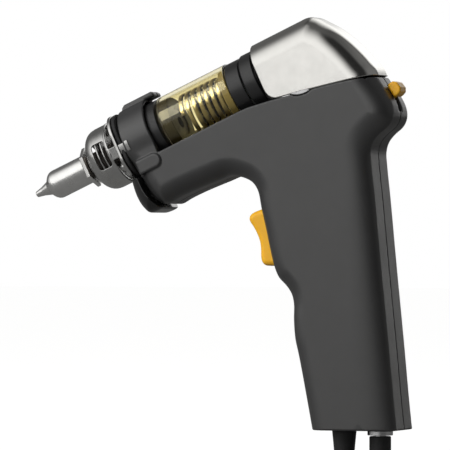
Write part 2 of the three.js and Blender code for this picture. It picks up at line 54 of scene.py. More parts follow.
KNOB = (13.8, 142.0)                  # release knob on the rear face (x, z)
REAR_DOWN = (0.539, -0.842)           # down the rear face
REAR_OUT = (-REAR_DOWN[1], REAR_DOWN[0])

HALF_WIDTH = 15.0                     # of housing, bezel and hood
WALL = 2.4                            # housing wall
MOUTH = 50.8                          # `along` of the housing's front end
COLLAR_END = 63.8                     # `along` of the rear end of its collar
HOOD_START = 118.2                    # `along` of the hood's front edge
PIVOT = (-36.4, 97.6)                 # trigger pin (x, z)
PIN_HOLE = 1.55                       # radius
CORD_X, HOSE_X = -7.5, 8.5            # power cord and vacuum hose under the base
SCREWS = [(-79, 108.6), (-44, 117.5), (-13.6, 128), (0.2, 92), (-15.5, 31)]  # (x, z)


def axial(along, up):
    """(x, z) of a place in the barrel frame."""
    return (TIP[0] + along * COS_TILT - up * SIN_TILT, TIP[1] + along * SIN_TILT + up * COS_TILT)


def to_axial(x, z):
    dx, dz = x - TIP[0], z - TIP[1]
    return dx * COS_TILT + dz * SIN_TILT, -dx * SIN_TILT + dz * COS_TILT


def axis_point(along):
    x, z = axial(along, 0)
    return np.array([x, 0, z])


def on_rear(down, out):
    """(x, z) of a place measured from the knob, down the rear face and out of it."""
    return (KNOB[0] + REAR_DOWN[0] * down + REAR_OUT[0] * out,
            KNOB[1] + REAR_DOWN[1] * down + REAR_OUT[1] * out)


def around(radius, first, count):
    """(y, up) of places spread evenly about the barrel axis, the first at `first` degrees."""
    angles = [math.radians(first + 360 / count * i) for i in range(count)]
    return [(-radius * math.cos(angle), radius * math.sin(angle)) for angle in angles]


FLANGE_HOLES = around(9.6, 24, 3)
FLANGE_HOLE_RADIUS = 1.35


# ------------------------------------------------------------------------ lines
def lerp(first, last, start, end, place):
    return (end - place) / (end - start) * first + (place - start) / (end - start) * last


def curve(points, step=1.2):
    """Smooth line through the points (centripetal Catmull-Rom)."""
    points = [np.array(point, float) for point in points]
    points = [2 * points[0] - points[1]] + points + [2 * points[-1] - points[-2]]
    line = []
    for i in range(1, len(points) - 2):
        near = points[i - 1:i + 3]
        knots = [0.0]
        for first, last in zip(near, near[1:]):
            knots.append(knots[-1] + max(np.linalg.norm(last - first), 1e-6) ** 0.5)
        count = max(1, int(round(np.linalg.norm(near[2] - near[1]) / step)))
        for k in range(count):
            place = knots[1] + (knots[2] - knots[1]) * k / count
            pairs = [lerp(near[m], near[m + 1], knots[m], knots[m + 1], place) for m in range(3)]
            ends = [lerp(pairs[m], pairs[m + 1], knots[m], knots[m + 2], place) for m in range(2)]
            line.append(lerp(ends[0], ends[1], knots[1], knots[2], place))
    line.append(points[-2])
    return [tuple(point) for point in line]


def fillet(profile, rounding):
    """Closed profile with its corners rounded by one radius, or by one per corner."""
    count = len(profile)
    line = []
    for i in range(count):
        before, corner, after = (np.array(profile[(i + k) % count], float) for k in (-1, 0, 1))
        radius = rounding[i] if isinstance(rounding, (list, tuple)) else rounding
        back, ahead = before - corner, after - corner
        back_length, ahead_length = np.linalg.norm(back), np.linalg.norm(ahead)
        back, ahead = back / back_length, ahead / ahead_length
        opening = math.acos(max(-1, min(1, float(back @ ahead))))
        if radius <= 0 or opening > math.pi - 0.05:
            line.append(tuple(corner))
            continue
        cut = min(radius / math.tan(opening / 2), 0.45 * back_length, 0.45 * ahead_length)
        radius = cut * math.tan(opening / 2)
        middle = (back + ahead) / np.linalg.norm(back + ahead)
        centre = corner + middle * (radius / math.sin(opening / 2))
        first = math.atan2(*(corner + back * cut - centre)[::-1])
        last = math.atan2(*(corner + ahead * cut - centre)[::-1])
        sweep_angle = (last - first + math.pi) % (2 * math.pi) - math.pi
        pieces = 4 if radius > 0.5 else 3
        for j in range(pieces + 1):
            angle = first + sweep_angle * j / pieces
            line.append((centre[0] + radius * math.cos(angle),
                         centre[1] + radius * math.sin(angle)))
    return line


def ring_section(start, end, inner, outer):
    """Plain rectangular profile for the lathe."""
    return [(start, inner), (start, outer), (end, outer), (end, inner)]


# ------------------------------------------------- distance fields, negative inside
def polygon(points, x, z):
    x, z = np.broadcast_arrays(np.asarray(x, float), np.asarray(z, float))
    nearest = np.full(x.shape, 1e18)
    inside = np.zeros(x.shape, bool)
    for i, (start_x, start_z) in enumerate(points):
        end_x, end_z = points[(i + 1) % len(points)]
        edge_x, edge_z = end_x - start_x, end_z - start_z
        squared = edge_x * edge_x + edge_z * edge_z
        if squared < 1e-12:
            continue
        off_x, off_z = x - start_x, z - start_z
        part = np.clip((off_x * edge_x + off_z * edge_z) / squared, 0, 1)
        nearest = np.minimum(nearest, (off_x - edge_x * part) ** 2 + (off_z - edge_z * part) ** 2)
        if edge_z != 0:
            spans = ((start_z <= z) & (z < end_z)) | ((end_z <= z) & (z < start_z))
            inside ^= spans & (x < start_x + (z - start_z) * edge_x / edge_z)
    nearest = np.sqrt(nearest)
    return np.where(inside, -nearest, nearest)


def radial(first, second):
    return np.sqrt(first * first + second * second)


def slab(value, low, high):
    return np.abs(value - (low + high) / 2) - (high - low) / 2


def both(first, second, edge=0.0):
    """Where both hold, the edge between them rounded by `edge`."""
    if np.ndim(edge) == 0 and edge <= 0:
        return np.maximum(first, second)
    first, second = first + edge, second + edge
    corner = radial(np.maximum(first, 0), np.maximum(second, 0))
    return corner + np.minimum(np.maximum(first, second), 0) - edge


def overlap(first, second, third):
    return both(first, both(second, third))


def union(first, second, blend=0.0):
    """Where either holds, the joint filled over a width of `blend`."""
    if blend <= 0:
        return np.minimum(first, second)
    part = np.maximum(blend - np.abs(first - second), 0) / blend
    return np.minimum(first, second) - part * part * blend * 0.25


def minus(first, second, edge=0.0):
    return both(first, -second, edge)


def smoothstep(value, start, end):
    part = np.clip((value - start) / (end - start), 0, 1)
    return part * part * (3 - 2 * part)


# ------------------------------------------------------------------- mesh tools
def to_metres(points):
    return (points + SHIFT) / 1000


def axial_to_part(points):
    x, z = axial(points[:, 0], points[:, 2])
    return np.stack([x, points[:, 1], z], 1)


def turn_to_part(normals):
    return np.stack([normals[:, 0] * COS_TILT - normals[:, 2] * SIN_TILT, normals[:, 1],
                     normals[:, 0] * SIN_TILT + normals[:, 2] * COS_TILT], 1)


def unit_rows(rows, least):
    return rows / np.maximum(np.linalg.norm(rows, axis=1, keepdims=True), least)


def link_object(name, data):
    made = bpy.data.objects.new(name, data)
    bpy.context.scene.collection.objects.link(made)
    return made


def shade_smooth(mesh):
    mesh.polygons.foreach_set("use_smooth", np.ones(len(mesh.polygons), bool))


def set_normals(mesh, normals):
    mesh.normals_split_custom_set_from_vertices([tuple(normal) for normal in normals])


def list_mesh(name, points, faces):
    """Mesh from millimetre points and a list of faces."""
    mesh = bpy.data.meshes.new(name)
    mesh.from_pydata([tuple(point) for point in to_metres(points)], [], faces)
    mesh.update()
    return mesh


def quad_object(name, points, quads, normals):
    mesh = bpy.data.meshes.new(name)
    mesh.vertices.add(len(points))
    mesh.vertices.foreach_set("co", np.asarray(to_metres(points), np.float32).ravel())
    quads = np.asarray(quads, np.int32)
    count, corners = quads.shape
    mesh.loops.add(count * corners)
    mesh.loops.foreach_set("vertex_index", quads.ravel())
    mesh.polygons.add(count)
    starts = np.arange(0, count * corners, corners, dtype=np.int32)
    mesh.polygons.foreach_set("loop_start", starts)
    mesh.update(calc_edges=True)
    shade_smooth(mesh)
    mesh.validate(verbose=False)
    mesh.update()
    set_normals(mesh, normals)
    return link_object(name, mesh)


CORNERS = [(i, j, k) for i in (0, 1) for j in (0, 1) for k in (0, 1)]


def cell_points(samples, cells):
    """Mean crossing of the surface with each cell's edges, in cell widths."""
    total = np.zeros((len(cells[0]), 3))
    hits = np.zeros(len(cells[0]))
    for start in CORNERS:
        for end in CORNERS:
            if start >= end or sum(abs(start[i] - end[i]) for i in range(3)) != 1:
                continue
            value, other = (samples[tuple(cells[i] + corner[i] for i in range(3))]
                            for corner in (start, end))
            crossed = (value < 0) != (other < 0)
            part = np.where(crossed, value / np.where(crossed, value - other, 1), 0)
            for i in range(3):
                total[:, i] += np.where(crossed, start[i] + part * (end[i] - start[i]), 0)
            hits += crossed
    return total / hits[:, None]


def cell_quads(inside, cell_ids):
    """One quad across every grid edge that the surface crosses, facing out."""
    quads = []
    for axis in range(3):
        near, far = [slice(1, -1)] * 3, [slice(1, -1)] * 3
        near[axis], far[axis] = slice(0, -1), slice(1, None)
        starts_in, ends_in = inside[tuple(near)], inside[tuple(far)]
        places = np.nonzero(starts_in != ends_in)
        outward = starts_in[places]
        places = [places[i] + (i != axis) for i in range(3)]
        across = ((axis + 1) % 3, (axis + 2) % 3)
        corners = []
        for backs in ((1, 1), (0, 1), (0, 0), (1, 0)):
            place = list(places)
            for i, back in zip(across, backs):
                place[i] = place[i] - back
            corners.append(cell_ids[tuple(place)])
        found = np.stack(corners, 1)
        found[~outward] = found[~outward][:, ::-1]
        quads.append(found)
    return np.concatenate(quads)


def field_object(name, field, low, high, step, relax=3, on_barrel=False):
    """Mesh of field(x, y, z) = 0 inside a box. On the barrel, it takes (along, y, up)."""
    low, high = np.array(low, float) - 1.5 * step, np.array(high, float) + 1.5 * step
    count = np.ceil((high - low) / step).astype(int) + 1
    axes = [low[i] + step * np.arange(count[i]) for i in range(3)]
    samples = field(axes[0][:, None, None], axes[1][None, :, None], axes[2][None, None, :])
    samples = np.ascontiguousarray(np.broadcast_to(samples, count)).astype(np.float32)
    samples[np.abs(samples) < 1e-6] = 1e-6
    inside = samples < 0
    size = count - 1
    filled = sum(inside[i:size[0] + i, j:size[1] + j, k:size[2] + k].astype(np.int8)
                 for i, j, k in CORNERS)
    active = (filled > 0) & (filled < 8)
    cells = np.nonzero(active)
    cell_ids = np.full(active.shape, -1, np.int64)
    cell_ids[cells] = np.arange(len(cells[0]))
    points = low + (np.stack(cells, 1) + cell_points(samples, cells)) * step
    quads = cell_quads(inside, cell_ids)
    reach = step * 0.12

    def gradient(points):
        x, y, z = points.T
        return np.stack([field(x + reach, y, z) - field(x - reach, y, z),
                         field(x, y + reach, z) - field(x, y - reach, z),
                         field(x, y, z + reach) - field(x, y, z - reach)], 1) / (2 * reach)

    # pull the points onto the true surface
    for _ in range(relax):
        slope = gradient(points)
        value = field(points[:, 0], points[:, 1], points[:, 2])
        move = -(value / np.maximum((slope * slope).sum(1), 0.07))[:, None] * slope
        distance = np.linalg.norm(move, axis=1, keepdims=True)
        move *= np.minimum(1, 0.6 * step / np.maximum(distance, 1e-9))
        points = points + move * 0.9
    normals = unit_rows(gradient(points), 1e-9)
    # at sharp edges the mean of the face normals takes over
    face_normals = np.cross(points[quads[:, 2]] - points[quads[:, 0]],
                            points[quads[:, 3]] - points[quads[:, 1]])
    means = np.zeros_like(points)
    for corner in range(4):
        np.add.at(means, quads[:, corner], face_normals)
    means = unit_rows(means, 1e-12)
    trust = np.clip(((normals * means).sum(1) - 0.90) / 0.08, 0, 1)[:, None]
    normals = unit_rows(normals * trust + means * (1 - trust), 1e-9)
    if on_barrel:
        points, normals = axial_to_part(points), turn_to_part(normals)
    return quad_object(name, points, quads, normals)


def profile_normals(line):
    """Outward normals of profile points, long flats winning over short fillets."""
    normals = np.zeros_like(line)
    for i in range(len(line)):
        j = (i + 1) % len(line)
        if line[i][1] < 1e-6 and line[j][1] < 1e-6:
            continue
        edge = line[j] - line[i]
        normal = np.array([edge[1], -edge[0]]) * np.linalg.norm(edge)
        normals[i] += normal
        normals[j] += normal
    return unit_rows(normals, 1e-12)


def lathe(name, profile, rounding, seg=128, centre_x=None, ripple=lambda along, radius, angle: 0.0):
    """Turned part from a closed (position along the axis, radius) profile.

    The axis is the barrel's, or the upright line at centre_x.
    """
    line = []
    for point in np.array(fillet(profile, rounding), float):
        if not line or np.linalg.norm(point - line[-1]) > 1e-4:
            line.append(point)
    line = np.array(line)
    area = sum(a[0] * b[1] - b[0] * a[1] for a, b in zip(line, np.roll(line, -1, axis=0)))
    if area < 0:
        line = line[::-1]
    points, normals, faces, rings = [], [], [], []
    angle = np.arange(seg) * 2 * math.pi / seg
    for (along, radius), normal in zip(line, profile_normals(line)):
        if radius < 1e-6:
            rings.append([len(points)])
            points.append((along, 0.0, 0.0))
            normals.append((math.copysign(1, normal[0]), 0.0, 0.0))
        else:
            rings.append(list(range(len(points), len(points) + seg)))
            radii = radius + ripple(along, radius, angle)
            points.extend(zip([along] * seg, -np.cos(angle) * radii, np.sin(angle) * radii))
            normals.extend(zip([normal[0]] * seg, -np.cos(angle) * normal[1],
                               np.sin(angle) * normal[1]))
    for this, following in zip(rings, rings[1:] + rings[:1]):
        if len(this) == 1 and len(following) == 1:
            continue
        for k in range(seg):
            m = (k + 1) % seg
            if len(this) == 1:
                faces.append((this[0], following[m], following[k]))
            elif len(following) == 1:
                faces.append((this[k], this[m], following[0]))
            else:
                faces.append((this[k], this[m], following[m], following[k]))
    points, normals = np.array(points, float), np.array(normals, float)
    if centre_x is None:
        points, normals = axial_to_part(points), turn_to_part(normals)
    else:
        points = np.stack([points[:, 2] + centre_x, points[:, 1], points[:, 0]], 1)
        normals = normals[:, ::-1]
        faces = [face[::-1] for face in faces]
    mesh = list_mesh(name, points, faces)
    # faces outwards
    sample = mesh.polygons[len(mesh.polygons) // 2]
    if sum(Vector(normals[sample.vertices[i]]).dot(sample.normal) for i in (0, 2)) < 0:
        mesh.flip_normals()
    shade_smooth(mesh)
    mesh.update()
    set_normals(mesh, normals)
    return link_object(name, mesh)


def tube_object(name, points, sides):
    """Skin over rings of `sides` points each, closed at both ends."""
    rings = len(points) // sides
    faces = []
    for i in range(rings - 1):
        for j in range(sides):
            m = (j + 1) % sides
            faces.append((i * sides + j, i * sides + m, (i + 1) * sides + m, (i + 1) * sides + j))
    faces.append(tuple(range(sides))[::-1])
    faces.append(tuple((rings - 1) * sides + j for j in range(sides)))
    mesh = list_mesh(name, np.array(points), faces)
    work = bmesh.new()
    work.from_mesh(mesh)
    bmesh.ops.recalc_face_normals(work, faces=work.faces)
    work.to_mesh(mesh)
    work.free()
    shade_smooth(mesh)
    return link_object(name, mesh)


def wire(name, path, radius, sides):
    """Round wire along a path of (x, y, z) points."""
    path = np.array(path, float)
    tangents = np.gradient(path, axis=0)
    tangents /= np.linalg.norm(tangents, axis=1, keepdims=True)
    side = np.array([0.0, 1.0, 0.0])
    points = []
    for place, tangent in zip(path, tangents):
        side = side - (side @ tangent) * tangent
        side /= np.linalg.norm(side)
        other = np.cross(tangent, side)
        for j in range(sides):
            angle = 2 * math.pi * j / sides
            points.append(place + radius * (math.cos(angle) * side + math.sin(angle) * other))
    return tube_object(name, points, sides)


def helix(radius, rise, turns, start, direction):
    """Points of a coil; its end turns lie close together, as ground springs do."""
    per_turn = 40
    flat = 0.75        # turns at each end that lie close
    flat_pitch = 0.25  # their pitch, relative to the rest
    direction = np.array(direction, float)
    direction /= np.linalg.norm(direction)
    side = np.array([0.0, 1.0, 0.0])
    other = np.cross(direction, side)
    turn = np.arange(turns * per_turn + 1) / (turns * per_turn) * turns
    body, slow = turns - 2 * flat, flat * flat_pitch
    total = body + 2 * slow
    advance = np.interp(turn, [0, flat, flat + body, turns], [0, slow, slow + body, total]) / total
    angle = 2 * math.pi * turn
    round_axis = np.outer(np.cos(angle), side) + np.outer(np.sin(angle), other)
    return np.array(start) + np.outer(rise * advance, direction) + radius * round_axis


def ribbon_coil(name, start, end, turns, inner, outer, width):
    """Coil of flat wire about the barrel axis; both ends closed."""
    per_turn = 72
    count = int(turns * per_turn)
    section = fillet([(-width / 2, inner), (width / 2, inner),
                      (width / 2, outer), (-width / 2, outer)], 0.3)
    points = []
    for i in range(count + 1):
        angle = 2 * math.pi * turns * i / count
        along = start + (end - start) * i / count
        for offset, radius in section:
            points.append((along + offset, -radius * math.cos(angle), radius * math.sin(angle)))
    return tube_object(name, axial_to_part(np.array(points)), len(section))


# -------------------------------------------------------------------- materials
MATERIALS = {}


def add_node(tree, kind, inputs=(), **settings):
    """New node; `inputs` maps sockets to values, or to the outputs that feed them."""
    made = tree.nodes.new("ShaderNode" + kind)
    for key, value in settings.items():
        setattr(made, key, value)
    for socket, value in dict(inputs).items():
        if isinstance(value, bpy.types.NodeSocket):
            tree.links.new(value, made.inputs[socket])
        else:
            made.inputs[socket].default_value = value
    return made


def find_node(tree, kind):
    return next(node for node in tree.nodes if node.type == kind)


def material_tree(name):
    made = bpy.data.materials.new(name)
    made.use_nodes = True
    made.node_tree.nodes.clear()
    MATERIALS[name] = made
    return made.node_tree


def noise(tree, vector, **inputs):
    inputs = {key.title(): value for key, value in inputs.items()}
    return add_node(tree, "TexNoise", {"Vector": vector, **inputs}).outputs["Fac"]


def ramp(tree, factor, start, end, low=(0, 0, 0), high=(1, 1, 1)):
    made = add_node(tree, "ValToRGB", {0: factor})
    first, last = made.color_ramp.elements[0], made.color_ramp.elements[1]
    first.position = start
    last.position = end
    first.color = (*low, 1)
    last.color = (*high, 1)
    return made.outputs[0]


def add_bump(tree, shader, height, strength, distance):
    """Bump on the shader's normal; distance in metres."""
    made = add_node(tree, "Bump", {"Strength": strength, "Distance": distance, "Height": height})
    tree.links.new(made.outputs[0], shader.inputs["Normal"])


def material(name, base, rough, metal=0.0, spec=0.5, vary=0.0, vary_scale=200.0, rough_vary=0.05,
             bump=0.0, bump_scale=3000.0, coat=0.0, coat_rough=0.05, sheen=0.0, subsurface=0.0,
             edge_lightening=0.0):
    """Principled surface whose colour and roughness vary by noise; convex edges are made lighter by
    pointiness.
    """
    tree = material_tree(name)
    shader = add_node(tree, "BsdfPrincipled", {
        "Metallic": metal, "IOR": 1.5, "Specular IOR Level": spec,
        "Coat Weight": coat, "Coat Roughness": coat_rough, "Sheen Weight": sheen})
    add_node(tree, "OutputMaterial", {0: shader.outputs[0]})
    coords = add_node(tree, "TexCoord").outputs["Object"]
    if subsurface:
        shader.inputs["Subsurface Weight"].default_value = subsurface
        shader.inputs["Subsurface Radius"].default_value = (0.002, 0.001, 0.0004)
        shader.inputs["Subsurface Scale"].default_value = 1.0
    color = ramp(tree, noise(tree, coords, scale=vary_scale, detail=5), start=0.3, end=0.7,
                 low=[max(0, c * (1 - vary)) for c in base],
                 high=[min(1, c * (1 + vary)) for c in base])
    # convex edges are lightened, by pointiness
    if edge_lightening:
        pointiness = add_node(tree, "NewGeometry").outputs["Pointiness"]
        amount = add_node(tree, "Math", {0: ramp(tree, pointiness, start=0.53, end=0.62), 1: edge_lightening},
                          operation="MULTIPLY")
        lighter_edge = (*[min(1, c * 1.8 + 0.02) for c in base], 1)
        color = add_node(tree, "Mix", {0: amount.outputs[0], 6: color, 7: lighter_edge},
                         data_type="RGBA").outputs[2]
    tree.links.new(color, shader.inputs["Base Color"])
    roughness = add_node(tree, "MapRange", {
        "From Min": 0.3, "From Max": 0.7,
        "To Min": max(0.01, rough - rough_vary), "To Max": min(1, rough + rough_vary),
        "Value": noise(tree, coords, scale=vary_scale * 0.6, detail=6, roughness=0.65)})
    tree.links.new(roughness.outputs[0], shader.inputs["Roughness"])
    if bump:
        add_bump(tree, shader, noise(tree, coords, scale=bump_scale, detail=3),
                 strength=bump, distance=0.0002)
    return tree


def glass_material(name):
    """Tinted glass that lets light through to shadows and diffuse surfaces unbent."""
    tree = material_tree(name)
    coords = add_node(tree, "TexCoord").outputs["Object"]
    tint = ramp(tree, noise(tree, coords, scale=90, detail=3), start=0.3, end=0.75,
                low=(0.955, 0.885, 0.60), high=(0.965, 0.90, 0.64))
    shader = add_node(tree, "BsdfPrincipled", {
        "Transmission Weight": 1.0, "IOR": 1.45, "Roughness": 0.015, "Base Color": tint})
    clear = add_node(tree, "BsdfTransparent", {"Color": tint})
    rays = add_node(tree, "LightPath").outputs
    unbent = add_node(tree, "Math", {0: rays["Is Shadow Ray"], 1: rays["Is Diffuse Ray"]},
                      operation="MAXIMUM")
    mixed = add_node(tree, "MixShader", {
        0: unbent.outputs[0], 1: shader.outputs[0], 2: clear.outputs[0]})
    add_node(tree, "OutputMaterial", {0: mixed.outputs[0]})


def brush_about_axis(tree, strength=0.10):
    """Fine turning marks round the barrel axis."""
    coords = find_node(tree, "TEX_COORD").outputs["Object"]
    turned = add_node(tree, "Mapping", {
        "Vector": coords, "Rotation": (0, TILT, 0), "Scale": (1, 0.02, 0.02)})
    add_bump(tree, find_node(tree, "BSDF_PRINCIPLED"),
             noise(tree, turned.outputs[0], scale=2600.0, detail=4),
             strength=strength, distance=0.00005)


def paint_inside_shade(tree, color=(0.02, 0.017, 0.011)):
    """Painted shade: the faces that look towards the barrel axis are painted dark, standing in for
    the shade in the gaps between the turns.
    """
    shader = find_node(tree, "BSDF_PRINCIPLED")
    coords = find_node(tree, "TEX_COORD").outputs

    def vector_math(operation, *values):
        return add_node(tree, "VectorMath", enumerate(values), operation=operation).outputs

    tip = ((TIP[0] + SHIFT[0]) / 1000, 0.0, (TIP[1] + SHIFT[2]) / 1000)
    from_tip = vector_math("SUBTRACT", coords["Object"], tip)[0]
    along = vector_math("PROJECT", from_tip, BARREL_AXIS)[0]
    outward = vector_math("NORMALIZE", vector_math("SUBTRACT", from_tip, along)[0])[0]
    facing = vector_math("DOT_PRODUCT", outward, coords["Normal"])["Value"]
    # mask: 1 on faces turned away from the axis, 0 where the painted shade colour goes
    unshaded = add_node(tree, "MapRange", {"From Min": -0.15, "From Max": 0.45, "Value": facing},
                     interpolation_type="SMOOTHSTEP")
    source = shader.inputs["Base Color"].links[0].from_socket
    mixed = add_node(tree, "Mix", {0: unshaded.outputs[0], 6: (*color, 1), 7: source},
                     data_type="RGBA")
    tree.links.new(mixed.outputs[2], shader.inputs["Base Color"])


material("housing_black", base=(0.0295, 0.0295, 0.030), rough=0.35, spec=1.0, vary=0.06,
         vary_scale=140, rough_vary=0.03, bump=0.12, bump_scale=5200, edge_lightening=0.10)
material("black_gloss", base=(0.010, 0.010, 0.0105), rough=0.12, vary=0.08, rough_vary=0.03,
         coat=0.4, coat_rough=0.03)
material("black_satin", base=(0.016, 0.016, 0.0163), rough=0.30, vary=0.08, vary_scale=300,
         rough_vary=0.04, bump=0.06, bump_scale=5200, spec=0.6)
material("cap_grey", base=(0.034, 0.032, 0.028), rough=0.45, vary=0.08, vary_scale=400,
         bump=0.06, spec=0.6)
material("black_matte", base=(0.022, 0.022, 0.023), rough=0.45, vary=0.10, bump=0.10,
         bump_scale=4500)
material("black_rubber", base=(0.016, 0.016, 0.0165), rough=0.62, vary=0.15, rough_vary=0.08,
         bump=0.25, bump_scale=3800, sheen=0.05)
material("yellow_plastic", base=(0.97, 0.50, 0.024), rough=0.33, vary=0.02, rough_vary=0.04,
         subsurface=0.12, bump=0.05, bump_scale=4200)
material("hood_metal", base=(0.68, 0.672, 0.65), rough=0.15, metal=1.0, vary=0.015,
         vary_scale=300, rough_vary=0.025, bump=0.03, bump_scale=7000)
brush_about_axis(material("nozzle_steel", base=(0.86, 0.855, 0.845), rough=0.24, metal=1.0,
                          vary=0.05, vary_scale=260))
brush_about_axis(material("cover_steel", base=(0.62, 0.618, 0.61), rough=0.23, metal=1.0,
                          vary=0.06, vary_scale=260, rough_vary=0.06), strength=0.2)
material("screw_steel", base=(0.62, 0.62, 0.63), rough=0.28, metal=1.0, vary=0.08,
         vary_scale=700, rough_vary=0.07)
material("spring_steel", base=(0.64, 0.64, 0.64), rough=0.26, metal=1.0, vary=0.06,
         vary_scale=600, rough_vary=0.06)
material("heater_ceramic", base=(0.13, 0.115, 0.10), rough=0.75, vary=0.10, vary_scale=500,
         bump=0.3, bump_scale=2600)
material("silicone", base=(0.66, 0.60, 0.50), rough=0.48, vary=0.05, vary_scale=300,
         rough_vary=0.06, subsurface=0.15, bump=0.08)
# the coil's inward faces get painted shade
paint_inside_shade(material("filter_wire", base=(0.66, 0.59, 0.42), rough=0.34, metal=1.0, vary=0.08,
                       vary_scale=900, rough_vary=0.08))
material("ceramic_paper", base=(0.30, 0.275, 0.225), rough=0.9, vary=0.10, vary_scale=900,
         bump=0.6, bump_scale=2200)
material("board_green", base=(0.02, 0.13, 0.05), rough=0.35, vary=0.2, vary_scale=1200, coat=0.3)
material("nipple_metal", base=(0.70, 0.70, 0.71), rough=0.22, metal=1.0, vary=0.05,
         vary_scale=700)
glass_material("amber_glass")


def put(piece, surface, body, node):
    """Gives a piece its material, the body it rides on and the CAD node it replaces."""
    piece.data.materials.append(MATERIALS[surface])
    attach(piece, body)
    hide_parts(node)


# ---------------------------------------------------------------------- housing
# Outlines are (x, z). REAR climbs the back of the handle; FRONT runs from the bezel
# under the barrel and down the front of the handle.
REAR = [
    (19.3, 0), (18.15, 10.5), (15.6, 37.2), (12.2, 70.7), (9.6, 97.6), (8.1, 111.5), (7.8, 117),
    (8.9, 121), (11.4, 124.2), (15.2, 127.5), (16.8, 130.2), (17.3, 133.2), (16.7, 136.4),
    (14.4, 141), (8.9, 148.8)]
FRONT = [
    (-95.3, 105.6), (-92.9, 101.4), (-90.3, 98.2), (-87.6, 96.0), (-84.3, 95.2), (-79.5, 97.6),
    (-73, 100.5), (-61.9, 104.8), (-55.6, 107), (-50.2, 106.3), (-45.8, 104.2), (-43.2, 100.6),
    (-41.5, 93.5), (-39.4, 84.9), (-35.6, 68.8), (-33.4, 63.9), (-30.1, 60.5), (-27.8, 57.1),
    (-26.8, 53), (-26.8, 46.5), (-26.2, 38.5), (-24.4, 30.5), (-21.2, 14.3), (-18.5, 0)]
BODY = (
    [(19.9, -12)] + curve(REAR) + [(4.0, 156), (-60, 175), axial(40, 30), axial(40, -16.0),
                                   (-99.4, 110.2), (-97.9, 108.4)]
    + curve(FRONT) + [(-16.3, -12)])
# the housing is trimmed to this: base, hood joint, open filter bay and mouth
KEEP = (
    [(60, 0), (60, 148.9)] + curve([(9.2, 148.35), (-5.5, 145.95), (-35.8, 138.6)], 4)
    + [axial(108.5, -10.0), axial(104, -9.8), axial(COLLAR_END, -9.8), axial(COLLAR_END, 0),
       axial(MOUTH, 0), axial(MOUTH, -40), (-120, 0)])

# raised pad on each side of the collar: flat in front, rounded behind
PAD_CENTRE, PAD_RADIUS, PAD_FRONT = (60.9, -12.4), 3.2, 52.6
PAD = [axial(PAD_CENTRE[0] + PAD_RADIUS * math.cos(angle),
             PAD_CENTRE[1] + PAD_RADIUS * math.sin(angle))
       for angle in (-math.pi / 2 + math.pi * i / 12 for i in range(13))]
PAD += [axial(PAD_FRONT, PAD_CENTRE[1] + PAD_RADIUS), axial(PAD_FRONT, PAD_CENTRE[1] - PAD_RADIUS)]

TOP_RIB = [axial(*place) for place in [
    (52.6, 12.0), (52.6, 15.9), (54.2, 17.0), (67.6, 17.0), (68.6, 16.0), (68.6, 14.6),
    (63.9, 14.6), (60, 12.0)]]
# openings behind the collar and under the hood
FILTER_BAY = [axial(COLLAR_END, -14.4), axial(COLLAR_END, 6), axial(121, 6), axial(121, -15.6)]
HOOD_BAY = [(-44, 131), (-44, 152), (6.2, 152), (6.2, 136)]
# knob slot in the rear face, and the ledge inside at the knob spring's lower end
KNOB_SLOT = [on_rear(-3.2, -5), on_rear(-3.2, 6), on_rear(8.6, 6), on_rear(8.6, -5)]
KNOB_SEAT = [on_rear(8.4, -11.5), on_rear(8.4, -7.6), on_rear(10.6, -7.4), on_rear(10.8, -3.8),
             (14.4, 128.0), (10.6, 125.2), (8.6, 126.6)]
CATCH_POCKET = [(-26.9, 141.5), (-24.9, 140.6), (-22.0, 140.65), (-19.3, 141.45),
                (-16.6, 143.4), (-16.8, 146), (-27.2, 143)]
COLLAR_OUTER, COLLAR_BORE = 15.6, 14.15
INNER_HALF = HALF_WIDTH - WALL


def side_rounding(x, z):
    """Rounding radius of the side edges, and the squash of the profile distance.

    The rounding at the back reaches 11 to 17 mm forward but only about 5 mm in; it is
    tighter at the front and under the barrel.
    """
    height = np.clip(z / 110.0, 0, 1)
    middle = -7.0 - 7.0 * height
    back = smoothstep(x - middle, 0.0, 12.0) * (1 - smoothstep(z, 122, 150))
    upper = smoothstep(x, -8, 6) * smoothstep(z, 122, 150)
    grip = 1 - smoothstep(z, 88, 104)
    radius = 8.0 - 0.8 * grip * (1 - back) - 2.8 * back + 1.0 * upper
    reach = 17.0 - 6.4 * height
    return radius, 1.0 - (1.0 - 5.2 / reach) * back


